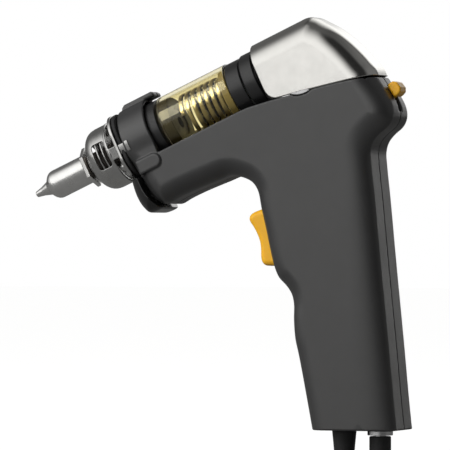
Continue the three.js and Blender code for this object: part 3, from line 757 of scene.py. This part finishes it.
def housing(side):
    """Field of one housing half; side is -1 for the left (-y) and 1 for the right."""
    def field(x, y, z):
        along, up = to_axial(x, z)
        wide = np.abs(y)
        from_axis = radial(y, up)
        keep = polygon(KEEP, x, z)
        radius, squash = side_rounding(x, z)
        # the upright rear face is slightly crowned
        crown = (-0.4 * np.clip((1 - (wide / 13.0) ** 2), 0, 1)
                 * smoothstep(x, 2, 10) * smoothstep(z, 118, 128))
        body = polygon(BODY, x, z) + crown
        inner = both((body + WALL) * squash, wide - INNER_HALF, radius)
        shape = both(both(body * squash, wide - HALF_WIDTH, radius), keep, edge=0.45)
        # collar, top rib and side pads
        collar = both(from_axis - COLLAR_OUTER, slab(along, MOUTH, COLLAR_END), edge=0.7)
        shape = union(shape, collar, blend=0.8)
        shape = union(shape, both(polygon(TOP_RIB, x, z), wide - 4.6, edge=0.9), blend=0.7)
        pad = both(polygon(PAD, x, z), slab(wide, 13.0, 15.9), edge=0.9)
        shape = union(shape, pad, blend=0.5)
        # hollow, collar bore, front hole
        shape = minus(shape, both(inner, keep + WALL, edge=0.5), edge=0.3)
        shape = minus(shape, both(from_axis - COLLAR_BORE, slab(along, 54.2, 64.8)), edge=0.5)
        shape = minus(shape, both(from_axis - 6.4, slab(along, 49, 56)), edge=0.3)
        # filter bay, hood bay, trigger window
        shape = minus(shape, both(polygon(FILTER_BAY, x, z), wide - 12.3), edge=0.5)
        shape = minus(shape, both(polygon(HOOD_BAY, x, z), wide - 12.5), edge=0.5)
        window = overlap(slab(x, -52, -29.5), slab(z, 68.2, 95.0), wide - 8.1)
        shape = minus(shape, window, edge=0.5)
        # knob seat, rib behind the trigger spring, knob slot
        shape = union(shape, both(both(polygon(KNOB_SEAT, x, z), wide - 13.0), inner - 0.6))
        shape = union(shape, overlap(slab(x, -26.3, -24.6), slab(z, 71.2, 77.8), wide - 13.0))
        shape = minus(shape, both(polygon(KNOB_SLOT, x, z), wide - 2.1), edge=0.45)
        for hole_y, hole_up in FLANGE_HOLES:
            hole = radial(y - hole_y, up - hole_up) - FLANGE_HOLE_RADIUS
            shape = minus(shape, both(hole, slab(along, 50, 55)), edge=0.2)
        for hole_x, hole_radius in ((CORD_X, 4.6), (HOSE_X, 3.6)):
            hole = both(radial(x - hole_x, y) - hole_radius, slab(z, -3, 4))
            shape = minus(shape, hole, edge=0.5)
        # trigger pin seats
        pin = radial(x - PIVOT[0], z - PIVOT[1])
        shape = union(shape, both(pin - 3.0, slab(wide, 8.1, 13.4)))
        shape = minus(shape, both(pin - PIN_HOLE, wide - 11.6))
        if side < 0:
            shape = minus(shape, both(polygon(CATCH_POCKET, x, z), y + 13.9), edge=0.25)
        # screw posts: blind on the left; drilled through and countersunk on the right
        for screw_x, screw_z in SCREWS:
            post = radial(x - screw_x, z - screw_z)
            if side < 0:
                shape = union(shape, both(post - 3.1, slab(y, -13.4, 0)), blend=0.4)
                shape = minus(shape, both(post - 1.6, slab(y, -11.5, 2)))
            else:
                shape = union(shape, both(post - 3.7, slab(y, 0, 13.4)), blend=0.4)
                shape = minus(shape, post - 1.8)
                shape = minus(shape, both(post - 3.1, slab(y, 9.3, 30)), edge=0.35)
        # joint line
        return both(shape, -(y * side) + 0.13, edge=0.32)
    return field


for name, side, low_y, high_y in (("left", -1, -16.1, -0.05), ("right", 1, 0.05, 16.1)):
    shell = field_object("housing_shell_" + name, housing(side),
                         (-110.2, low_y, -0.4), (20.2, high_y, 149.5), step=0.62)
    put(shell, "housing_black", "housing", "housing_" + name)


# ----------------------------------------------------------------- front bezel
# (x, z): the gloss strip round the barrel's lower front edge, and the body it is cut from
BEZEL = (
    curve([(-100.6, 104.9), (-99.3, 100.8), (-97.5, 96.8), (-95.2, 93.6), (-92.4, 91.4),
           (-89.5, 91.9), (-86.9, 93.1)], 0.8)
    + curve([(-86.7, 93.8), (-88.4, 95.3), (-90.7, 97.7), (-93.3, 101.0), (-95.7, 105.5)], 0.8)
    + [(-96.2, 106.3)])
BEZEL_BODY = curve([
    (-100.6, 104.9), (-99.3, 100.8), (-97.5, 96.8), (-95.2, 93.6), (-92.4, 91.4), (-88.9, 92.1),
    (-85.3, 93.9), (-78, 97.4)], 0.8) + [(-60, 105.4), (-60, 128), (-104, 122)]


def bezel(x, y, z):
    rounded = both(polygon(BEZEL_BODY, x, z), np.abs(y) - HALF_WIDTH, edge=8.0)
    return both(rounded, polygon(BEZEL, x, z), edge=0.3)


put(field_object("front_bezel_gloss", bezel, (-101, -15.2, 91), (-84, 15.2, 106.8), step=0.42),
    "black_gloss", "housing", "front_bezel")

# ------------------------------------------------------------------- rear hood
# (x, z): back and top of the hood, from the knob upwards and forwards
HOOD_REAR = [
    (10.4, 146.0), (8.9, 151.2), (5.2, 155.6), (0.6, 160.4), (-4.4, 164.9), (-10.2, 169.2),
    (-15.2, 171.9), (-18.1, 173.3), (-20.4, 173.9), (-22.6, 173.55), (-24.9, 172.55)]
HOOD_OUTER = curve(HOOD_REAR, 1.0) + [
    axial(HOOD_START - 14, 14.6), axial(HOOD_START - 14, -30), (12.8, 128)]
# (behind HOOD_START, up): the hood's front edge, curving back at its foot
HOOD_EDGE = [(0, 16), (0, 8), (0, 0), (0, -4), (0.1, -7.2), (0.5, -8.8), (1.6, -10.7),
             (3.3, -11.95)]
HOOD_KEEP = (
    [axial(HOOD_START, 20)] + curve([axial(HOOD_START + back, up) for back, up in HOOD_EDGE], 1.0)
    + [(-30.6, 140.05), (-26.0, 141.2), (-22.4, 142.15), (-7.1, 145.6), (8.3, 148.95),
       (30, 148.95), (30, 190)])
CATCH = [(-26.4, 141.25), (-24.6, 140.9), (-22.2, 141.0), (-19.6, 141.75), (-17.4, 143.0)]
CATCH_TAB = curve(CATCH, 0.6) + [(-22.2, 144.0)]


def hood(x, y, z):
    along, up = to_axial(x, z)
    radius = 10.0 + 1.5 * smoothstep(up, 0, 12)
    outer = both(polygon(HOOD_OUTER, x, z), np.abs(y) - HALF_WIDTH, radius)
    # the wall thins towards the front edge
    wall = 1.25 - 0.42 * (1 - smoothstep(along, 122.5, 128))
    return both(minus(outer, outer + wall, edge=0.25), polygon(HOOD_KEEP, x, z), edge=0.35)


def catch(x, y, z):
    return both(polygon(CATCH_TAB, x, z), slab(y, -14.98, -14.2), edge=0.25)


put(field_object("hood_shell", hood, (-48.2, -15.2, 138), (12.4, 15.2, 175.4), step=0.42),
    "hood_metal", "housing", "rear_hood")
put(field_object("hood_catch_tab", catch, (-27, -15.2, 139.8), (-17, -14, 144.4), step=0.18),
    "screw_steel", "housing", "hood_catch")

# ---------------------------------------------------------------- release knob
KNOB_CAP = fillet([on_rear(*place) for place in [
    (-3.15, 0.7), (-3.1, 3.6), (-1.6, 5.0), (1.0, 5.25), (2.7, 4.2), (3.15, 2.4),
    (3.15, 0.7)]], 0.9)
KNOB_STEM = [on_rear(-2.6, -4.4), on_rear(-2.6, 1.6), on_rear(2.6, 1.6), on_rear(2.6, -4.4)]


def knob(x, y, z):
    cap = both(polygon(KNOB_CAP, x, z), np.abs(y) - 4.0, edge=0.9)
    return union(cap, both(polygon(KNOB_STEM, x, z), np.abs(y) - 1.7, edge=0.2), blend=0.2)


put(field_object("release_knob_cap", knob, (7, -4.3, 135), (22, 4.3, 149), step=0.2),
    "yellow_plastic", "release_button", "release_knob")

# --------------------------------------------------------------------- trigger
# (x, z): top edge, hooked front face, then the straight back
TRIGGER = (
    curve([(-36.4, 100.8), (-38.3, 99.8), (-38.9, 97.8), (-38.8, 95.2)], 0.6)[:-1]
    + curve([(-38.8, 94.9), (-40.8, 93.4), (-43.0, 92.7), (-45.7, 91.7), (-47.4, 90.6),
             (-48.1, 89.2), (-47.8, 87.7), (-46.4, 85.7), (-44.7, 82.7), (-43.4, 79.4),
             (-42.9, 76.2), (-42.8, 72.6), (-42.2, 70.4), (-40.9, 69.2), (-38.4, 68.9)], 0.6)
    + [(-35.2, 68.9), (-33.4, 71.0), (-33.0, 80), (-33.4, 94.5), (-33.6, 99.6)])


def trigger(x, y, z):
    shape = both(polygon(TRIGGER, x, z), np.abs(y) - 7.6, edge=2.4)
    shape = minus(shape, radial(x - PIVOT[0], z - PIVOT[1]) - PIN_HOLE, edge=0.15)
    spring_pocket = overlap(slab(x, -36.6, -30), slab(z, 71.4, 78.4), np.abs(y) - 5.2)
    return minus(shape, spring_pocket, edge=0.3)


put(field_object("trigger_lever_yellow", trigger, (-48.5, -7.8, 68.6), (-32.6, 7.8, 101.2),
                 step=0.34),
    "yellow_plastic", "trigger_lever", "trigger")

# --------------------------------------------------------------------- hot end
# nozzle outline: radius at each place along the axis
NOZZLE_ALONG = [0, 0.25, 3.4, 6.6, 7.0, 7.6, 8.4, 9.3, 10.2, 11.2, 40]
NOZZLE_RADIUS = [1.1, 1.3, 1.98, 3.08, 3.35, 4.2, 5.15, 5.85, 6.2, 6.3, 6.3]
NOZZLE_HEX = around(9.0, -31.7, 6)
COVER_END = 43.4
# (along, radius) of the cover: domed front, straight sides, closed on the axis
COVER = curve([(30.8, 9.0), (31.2, 9.9), (32.2, 11.45), (33.6, 12.75), (35.2, 13.5),
               (37.2, 13.8)], 0.5) + [(COVER_END, 13.8), (COVER_END, 0), (30.8, 0)]


def nozzle(along, y, up):
    from_axis = radial(y, up)
    outline = np.interp(along, NOZZLE_ALONG, NOZZLE_RADIUS)
    shape = both((from_axis - outline) * 0.88, slab(along, 0, 27.4), edge=0.12)
    hexagon = both(polygon(NOZZLE_HEX, y, up), slab(along, 27.0, 28.8), edge=0.3)
    shape = union(shape, hexagon, blend=0.25)
    return minus(shape, from_axis - np.where(along < 8, 0.5, 1.5), edge=0.1)


def cover(along, y, up):
    from_axis = radial(y, up)
    outer = polygon(COVER, along, from_axis)
    shell = minus(outer, both(outer + 0.85, from_axis - 13.1), edge=0.2)
    shell = minus(shell, from_axis - 8.4, edge=0.35)
    shell = both(shell, along - COVER_END, edge=0.35)
    # rolled front and rear rims
    shell = union(shell, radial(along - 31.4, from_axis - 9.0) - 0.62, blend=0.4)
    shell = union(shell, radial(along - 42.9, from_axis - 13.45) - 0.55, blend=0.3)
    # feet to the flange
    for degrees in (96.5, 216.5, 336.5):
        angle = math.radians(degrees)
        outward = -y * math.sin(angle) + up * math.cos(angle)
        across = y * math.cos(angle) + up * math.sin(angle)
        foot = both(both(slab(across, -2.6, 2.6), slab(outward, 12.95, 13.75)),
                    slab(along, 42.0, 46.6), edge=0.25)
        shell = union(shell, foot, blend=0.3)
    # windows on both sides
    window = both(both(slab(along, 35.8, 42.0), np.abs(up) - 5.8, edge=1.3), -(np.abs(y) - 8))
    shell = minus(shell, window, edge=0.25)
    # stiffening rings inside
    for start, inner in ((37.3, 10.8), (39.7, 9.6)):
        ring = both(slab(along, start, start + 0.75), slab(from_axis, inner, 13.2), edge=0.2)
        shell = union(shell, ring, blend=0.2)
    return shell


def square_plan(y, up, half_width, half_height, corner=9.5):
    """Rounded square across the barrel axis."""
    over_y, over_up = np.abs(y) - (half_width - corner), np.abs(up) - (half_height - corner)
    outside = radial(np.maximum(over_y, 0), np.maximum(over_up, 0))
    return outside + np.minimum(np.maximum(over_y, over_up), 0) - corner


def pierce(plate, y, up, bore_edge):
    """Cuts the central bore and the screw holes."""
    plate = minus(plate, radial(y, up) - 6.0, bore_edge)
    for hole_y, hole_up in FLANGE_HOLES:
        plate = minus(plate, radial(y - hole_y, up - hole_up) - FLANGE_HOLE_RADIUS, edge=0.15)
    return plate


def flange(along, y, up):
    plate = both(square_plan(y, up, 15.6, 14.6), slab(along, 46.9, 48.4), edge=0.35)
    for boss_y, boss_up in around(10.9, -45, 3):
        boss = both(radial(y - boss_y, up - boss_up) - 2.2, slab(along, 44.0, 47.4), edge=0.3)
        plate = union(plate, boss, blend=0.25)
    plate = pierce(plate, y, up, bore_edge=0.25)
    # tongue back along the collar's left side, with a pad at its end
    from_axis = radial(y, up)
    tongue = both(slab(from_axis, 14.55, 15.15),
                  overlap(slab(up, -3.6, 0.6), slab(along, 47.5, 53.4), y + 8))
    pad = both(slab(up, -3.8, 0.9), both(slab(along, 51.7, 53.5), y + 8), edge=0.25)
    pad = both(slab(from_axis, 14.7, 16.15), pad, edge=0.25)
    return union(union(plate, tongue), pad, blend=0.2)


def gasket(along, y, up):
    plate = both(square_plan(y, up, 15.0, 14.5), slab(along, 48.7, 50.4), edge=0.4)
    return pierce(plate, y, up, bore_edge=0.3)


# mesh name, field, low and high corners (along, y, up), step, material, CAD node
HOT_END = [
    ("nozzle_tip", nozzle, (0, -9.1, -9.1), (28.8, 9.1, 9.1), 0.28, "nozzle_steel", "nozzle"),
    ("element_cover_steel", cover, (30.4, -14.2, -14.2), (46.8, 14.2, 14.2), 0.3,
     "cover_steel", "element_cover"),
    ("heater_flange_plate", flange, (43.8, -16.3, -15.2), (53.7, 15.8, 15.2), 0.33,
     "cover_steel", "heater_flange"),
    ("flange_gasket_ring", gasket, (48.5, -15.2, -14.8), (50.6, 15.2, 14.8), 0.33,
     "black_rubber", "flange_gasket"),
]
for name, field, low, high, step, surface, node in HOT_END:
    put(field_object(name, field, low, high, step, on_barrel=True), surface, "housing", node)


# ---------------------------------------------------------------------- screws
# Both are modelled along x and moved into place afterwards.
def thread_wave(x, y, z, pitch):
    """0 to 0.5 and back once per pitch, turning about the x axis."""
    return np.abs(((x + np.arctan2(z, y) / (2 * math.pi) * pitch) / pitch) % 1 - 0.5)


def flange_screw(x, y, z):
    """Slotted head at the front, shank behind."""
    from_axis = radial(y, z)
    head = np.interp(x, [44.9, 45.4, 46.6], [1.5, 2.1, 2.25])
    shape = both(from_axis - head, slab(x, 44.9, 46.6), edge=0.25)
    thread = 0.98 + 0.07 * thread_wave(x, y, z, pitch=0.5) * 2
    shape = union(shape, both(from_axis - thread, slab(x, 46.0, 53.8)), blend=0.1)
    return minus(shape, both(slab(y, -0.32, 0.32), x - 45.7), edge=0.08)


def housing_screw(x, y, z):
    """Cross head at the +x end, pointed shank."""
    from_axis = radial(y, z)
    head = np.interp(x, [9.6, 10.2, 11.1, 11.7], [2.7, 2.68, 2.35, 1.7])
    shape = both(from_axis - head, slab(x, 9.6, 11.7), edge=0.25)
    thread = 1.02 + 0.22 * np.clip(1 - thread_wave(x, y, z, pitch=1.0) * 3.2, 0, 1)
    thread = thread * np.clip((x + 8.8) / 2.0, 0.1, 1)
    shape = union(shape, both(from_axis - thread, slab(x, -8.6, 10)), blend=0.15)
    cross = np.minimum(both(slab(y, -0.38, 0.38), np.abs(z) - 1.6),
                       both(slab(z, -0.38, 0.38), np.abs(y) - 1.6))
    return minus(shape, both(cross, 10.6 - x), edge=0.08)


def get_points(mesh):
    return np.array([vertex.co for vertex in mesh.vertices]) * 1000 - SHIFT


def set_points(mesh, points):
    mesh.vertices.foreach_set("co", to_metres(points).astype(np.float32).ravel())


for i, (hole_y, hole_up) in enumerate(FLANGE_HOLES, 1):
    screw = field_object("flange_screw_mesh_%d" % i, flange_screw,
                         (44.9, -2.3, -2.3), (53.8, 2.3, 2.3), step=0.16, relax=2)
    points = get_points(screw.data) + (0, hole_y, hole_up)
    set_points(screw.data, axial_to_part(points))
    put(screw, "screw_steel", "housing", "flange_screw_%d" % i)

# The housing screws lie along y with their heads to the right, each turned differently.
base_screw = field_object("housing_screw_base", housing_screw,
                          (-8.6, -2.75, -2.75), (11.7, 2.75, 2.75), step=0.2, relax=2)
length_wise, side_wise, height_wise = get_points(base_screw.data).T
for i, (screw_x, screw_z) in enumerate(SCREWS):
    screw = link_object("housing_screw_mesh_%d" % (i + 1), base_screw.data.copy())
    angle = math.radians(17 + 41 * i)
    x = side_wise * math.cos(angle) - height_wise * math.sin(angle) + screw_x
    z = side_wise * math.sin(angle) + height_wise * math.cos(angle) + screw_z
    set_points(screw.data, np.stack([x, length_wise, z], 1))
    screw.data.flip_normals()
    screw.data.update()
    put(screw, "screw_steel", "housing", "housing_screw_%d" % (i + 1))
bpy.data.objects.remove(base_screw)

# ------------------------------------------------------- filter pipe and seats
# Lathe profiles are (along, radius), with one rounding or one per point.
put(lathe("front_holder_cup",
          [(55.8, 1.6), (55.8, 7), (58.6, 7), (60.6, 13.2), (68.0, 13.2), (68.0, 10.2),
           (67.2, 9.6), (67.2, 2.0), (60, 1.6)],
          [0, 0.4, 0.4, 0.6, 0.5, 0.3, 0.2, 0.3, 0]),
    "black_satin", "housing", "front_holder")
put(lathe("front_seal_ring", ring_section(68.2, 68.8, inner=2.2, outer=9.6), 0.22),
    "silicone", "housing", "front_seal")
put(lathe("filter_glass_tube", ring_section(69.0, 103.0, inner=11.9, outer=13.4), 0.62),
    "amber_glass", "filter_pipe", "filter_glass")
put(lathe("front_cap_plate",
          [(69.3, 2.6), (69.3, 11.75), (74.3, 11.75), (74.3, 6.4), (73.7, 5.9), (73.7, 2.6)],
          [0.3, 0.3, 0.35, 0.2, 0.2, 0.25]),
    "cap_grey", "filter_pipe", "filter_front_cap")
put(ribbon_coil("solder_catcher_coil", start=79.6, end=98.3, turns=6.15, inner=9.3, outer=10.4,
                width=1.9),
    "filter_wire", "filter_pipe", "spring_filter")


def paper_ripple(along, radius, angle):
    """Slight waves round the outer edge."""
    return 0.05 * np.sin(angle * 23 + along * 3) * (1 if radius > 8 else 0)


put(lathe("ceramic_filter_disc", ring_section(99.4, 102.6, inner=2.4, outer=11.5), 0.5,
          ripple=paper_ripple),
    "ceramic_paper", "filter_pipe", "ceramic_filter")
put(lathe("rear_cap_ring",
          [(103.3, 2.4), (103.3, 12.9), (109.8, 12.9), (109.8, 10.6), (108.6, 10.0),
           (108.6, 2.4)],
          [0, 0.3, 0.3, 0.3, 0.3, 0]),
    "black_satin", "filter_pipe", "filter_rear_cap")
put(lathe("plunger_ring",
          [(110.3, 2.0), (110.3, 12.6), (110.9, 13.45), (116.3, 13.45), (116.5, 12.6),
           (116.5, 9.6), (114.6, 9.2), (114.6, 5.4), (137.0, 5.4), (137.0, 2.0)],
          [0, 0.6, 0.5, 0.4, 0.3, 0.4, 0.3, 0.3, 0.4, 0]),
    "black_satin", "plunger", "rear_plunger")


# --------------------------------------------------------------------- springs
def spring(node, coil, thickness, sides, start, direction):
    """Coil given as (radius, length, turns), wound from start along direction, on a mesh of its
    own.
    """
    path = helix(*coil, start, direction)
    made = wire(node + "_coil", path, thickness, sides)
    put(made, "spring_steel", "housing", node)
    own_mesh(made)


spring("plunger_spring", coil=(7.6, 12.8, 5), thickness=0.6, sides=12,
       start=axis_point(117.5), direction=BARREL_AXIS)

knob_x, knob_z = on_rear(-1.1, -9.4)
knob_start = np.array([knob_x, 0, knob_z])
knob_direction = np.array([REAR_DOWN[0], 0, REAR_DOWN[1]]) / math.hypot(*REAR_DOWN)
spring("knob_spring", coil=(1.3, 8.9, 6), thickness=0.3, sides=8,
       start=knob_start, direction=knob_direction)

spring("trigger_spring", coil=(2.2, 9.2, 5), thickness=0.4, sides=10,
       start=(-36.1, 0, 74.9), direction=(1, 0, 0))

# ------------------------------------------------------------ leads and hoses
# (x, distance from the middle plane, z), from the heater down into the handle
LEAD = [
    (-94.2, 4.5, 114.6), (-91.6, 6.4, 110.8), (-86.5, 8.4, 111.2), (-79, 9.2, 114.2),
    (-66, 9.4, 113.6), (-48, 9.4, 110.6), (-24, 9.4, 106), (-13.5, 8.6, 92), (-9.8, 7.4, 76.4)]
for name, side in (("heater_lead", 1), ("sensor_lead", -1)):
    path = curve([(x, y * side, z) for x, y, z in LEAD], 1.5)
    put(wire(name + "_wire", path, radius=0.85, sides=12), "silicone", "housing", name)

# (x, y, z), from the plunger's rear end down to the nipple
INNER_HOSE = [
    axis_point(147.3), (-10.4, 0, 161.4), (-5.8, 0, 155.5), (-4.6, 0, 146), (-5.6, 0, 130),
    (-7.0, 0, 108), (-7.4, 0, 92), (-4.0, 0, 74), (3.4, 0, 36), (7.6, 0, 18),
    (HOSE_X, 0, 11.6)]
put(wire("inner_vacuum_hose", curve(INNER_HOSE, 2.0), radius=3.05, sides=20),
    "silicone", "housing", "inner_hose")

# Upright lathe profiles are (z, radius).
put(lathe("cord_bushing",
          [(-16.5, 2.85), (-16.5, 3.6), (-15.2, 3.75), (-15.2, 3.15), (-14.2, 3.15),
           (-14.2, 3.85), (-12.8, 4.0), (-12.8, 3.35), (-11.8, 3.35), (-11.8, 4.1),
           (-10.3, 4.25), (-10.3, 3.55), (-9.3, 3.55), (-9.3, 4.35), (-5.4, 4.7), (-0.4, 5.2),
           (-0.4, 4.3), (2.8, 4.3), (2.8, 6.2), (4.8, 6.2), (4.8, 2.85)],
          0.18, seg=64, centre_x=CORD_X),
    "black_rubber", "housing", "strain_relief")
put(lathe("power_cord_stub", ring_section(-20, 24, inner=0, outer=2.6), [0, 0.35, 0.35, 0],
          seg=48, centre_x=CORD_X),
    "black_rubber", "housing", "power_cord")
put(lathe("hose_nipple_barbed",
          [(-13, 1.6), (-13, 2.2), (-9.8, 2.9), (-9.6, 2.4), (-6.6, 2.4), (-2.2, 2.4),
           (-2.2, 5.4), (-0.4, 5.4), (-0.4, 3.2), (2.8, 3.2), (2.8, 5.4), (4.4, 5.4),
           (4.4, 2.6), (11.2, 2.6), (11.2, 1.6)],
          0.12, seg=64, centre_x=HOSE_X),
    "nipple_metal", "housing", "hose_nipple")
put(lathe("vacuum_hose_stub", ring_section(-20, -2.6, inner=3.2, outer=4.6), 0.4,
          seg=64, centre_x=HOSE_X),
    "black_rubber", "housing", "vacuum_hose_end")

# ------------------------------------------- CAD pieces kept, with softened edges
KEPT = {
    "heater_core": "heater_ceramic",
    "plunger_guide": "black_matte",
    "release_slider": "black_matte",
    "trigger_pin": "screw_steel",
    "switch_plunger": "yellow_plastic",
    "trigger_switch": "black_matte",
    "terminal_board": "board_green",
    "cord_clamp": "black_matte",
}
for name, surface in KEPT.items():
    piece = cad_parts[name]
    piece.data.materials.clear()
    piece.data.materials.append(MATERIALS[surface])
    bevel = piece.modifiers.new("bevel", "BEVEL")
    bevel.width = 0.0002  # metres
    bevel.segments = 2
    bevel.limit_method = "ANGLE"
    bevel.angle_limit = math.radians(35)
    bevel.harden_normals = False


# ----------------------------------------------------------------- stage, metres
def build_floor():
    """Grey paper that also glows, for the camera only, so that it looks white."""
    work = bmesh.new()
    bmesh.ops.create_grid(work, x_segments=8, y_segments=8, size=6.0)
    mesh = bpy.data.meshes.new("studio_floor")
    work.to_mesh(mesh)
    work.free()
    floor = link_object("studio_floor", mesh)
    tree = material_tree("floor_paper")
    paper = add_node(tree, "BsdfDiffuse", {"Color": (0.24, 0.24, 0.237, 1)})
    camera_ray = add_node(tree, "LightPath").outputs["Is Camera Ray"]
    strength = add_node(tree, "Math", {0: camera_ray, 1: 0.90}, operation="MULTIPLY")
    glow = add_node(tree, "Emission", {"Color": (1, 1, 1, 1), "Strength": strength.outputs[0]})
    total = add_node(tree, "AddShader", {0: paper.outputs[0], 1: glow.outputs[0]})
    add_node(tree, "OutputMaterial", {0: total.outputs[0]})
    mesh.materials.append(MATERIALS["floor_paper"])


CAMERA_YAW = math.radians(21)


def build_world():
    """Studio surroundings.

    White behind the object, soft boxes to the left of the camera and above, and a dim
    stretch about the camera itself. Azimuth is in degrees from -y, positive towards +x.
    """
    world = bpy.data.worlds.new("studio")
    bpy.context.scene.world = world
    world.use_nodes = True
    tree = world.node_tree
    tree.nodes.clear()
    direction = add_node(tree, "TexCoord").outputs["Generated"]
    x, y, z = add_node(tree, "SeparateXYZ", {0: direction}).outputs

    def calc(operation, *values):
        return add_node(tree, "Math", enumerate(values), operation=operation).outputs[0]

    def chain(operation, first, *others):
        for value in others:
            first = calc(operation, first, value)
        return first

    def fade(value, start, end, gain=1.0):
        """0 at start, gain at end, smooth between; start may be above end."""
        falling = start > end
        return add_node(tree, "MapRange", {
            "From Min": min(start, end), "From Max": max(start, end),
            "To Min": gain if falling else 0.0, "To Max": 0.0 if falling else gain,
            "Value": value}, interpolation_type="SMOOTHSTEP").outputs[0]

    azimuth = calc("MULTIPLY", calc("ARCTAN2", x, calc("MULTIPLY", y, -1.0)), 180 / math.pi)
    elevation = calc("MULTIPLY", calc("ARCSINE", z), 180 / math.pi)
    turn = calc("ABSOLUTE", azimuth)

    # large window left of the camera, a little dimmer below the horizon
    window = calc("MULTIPLY", fade(azimuth, 24, -10), fade(azimuth, -112, -46))
    key = calc("MULTIPLY", window, calc("ADD", fade(elevation, 108, 18, gain=1.22),
                                        fade(elevation, 4, -14, gain=-0.25)))
    back = calc("MULTIPLY", fade(turn, 154, 176), fade(elevation, 80, 35, gain=1.35))
    right = chain("MULTIPLY", fade(azimuth, 60, 88), fade(azimuth, 166, 140),
                  fade(elevation, 82, 45, gain=0.17))
    left = chain("MULTIPLY", fade(azimuth, -85, -110), fade(azimuth, -172, -150),
                 fade(elevation, 82, 45, gain=0.11))
    top = fade(elevation, 60, 86, gain=0.09)
    ambient = 0.025
    total = chain("ADD", key, ambient, back, right, left, top)
    studio = add_node(tree, "Background", {"Strength": total, "Color": (1.0, 0.995, 0.98, 1)})

    # camera rays see white, and so do transmitted rays that carry on past the object
    rays = add_node(tree, "LightPath").outputs
    view = (-math.sin(CAMERA_YAW), math.cos(CAMERA_YAW), 0)
    ahead = add_node(tree, "VectorMath", {0: direction, 1: view},
                     operation="DOT_PRODUCT").outputs["Value"]
    white = add_node(tree, "Background", {
        "Color": (1, 1, 1, 1),
        "Strength": calc("MAXIMUM", rays["Is Camera Ray"], fade(ahead, 0.55, 0.86))})
    direct = calc("MAXIMUM", rays["Is Camera Ray"], rays["Is Transmission Ray"])
    mixed = add_node(tree, "MixShader", {0: direct, 1: studio.outputs[0], 2: white.outputs[0]})
    add_node(tree, "OutputWorld", {0: mixed.outputs[0]})


def build_key_light():
    """Square soft box left of the camera and above, left out of reflections."""
    azimuth, elevation, distance = math.radians(-42), math.radians(30), 1.6
    target = (0.0, 0.0, 0.10)
    place = Vector((target[0] + distance * math.sin(azimuth) * math.cos(elevation),
                    target[1] - distance * math.cos(azimuth) * math.cos(elevation),
                    target[2] + distance * math.sin(elevation)))
    light = bpy.data.lights.new("key_softbox", "AREA")
    light.shape = "RECTANGLE"
    light.size = light.size_y = 0.8
    light.energy = 16  # watts
    lamp = link_object("key_softbox", light)
    lamp.location = place
    lamp.rotation_euler = (Vector(target) - place).to_track_quat("-Z", "Y").to_euler()
    lamp.visible_glossy = False


def build_camera():
    """Long lens, level, from the front left."""
    lens = bpy.data.cameras.new("camera")
    lens.lens = 400
    lens.sensor_width = 36
    lens.clip_start = 0.05
    lens.clip_end = 50
    camera = link_object("camera", lens)
    camera.location = (0.76609, -1.98624, 0.1062)
    camera.rotation_euler = (math.radians(90), 0, CAMERA_YAW)
    bpy.context.scene.camera = camera
    view = bpy.context.scene.view_settings
    view.view_transform = "Standard"
    view.look = "None"
    view.exposure = 0.0
    view.gamma = 1.0


build_floor()
build_world()
build_key_light()
build_camera()
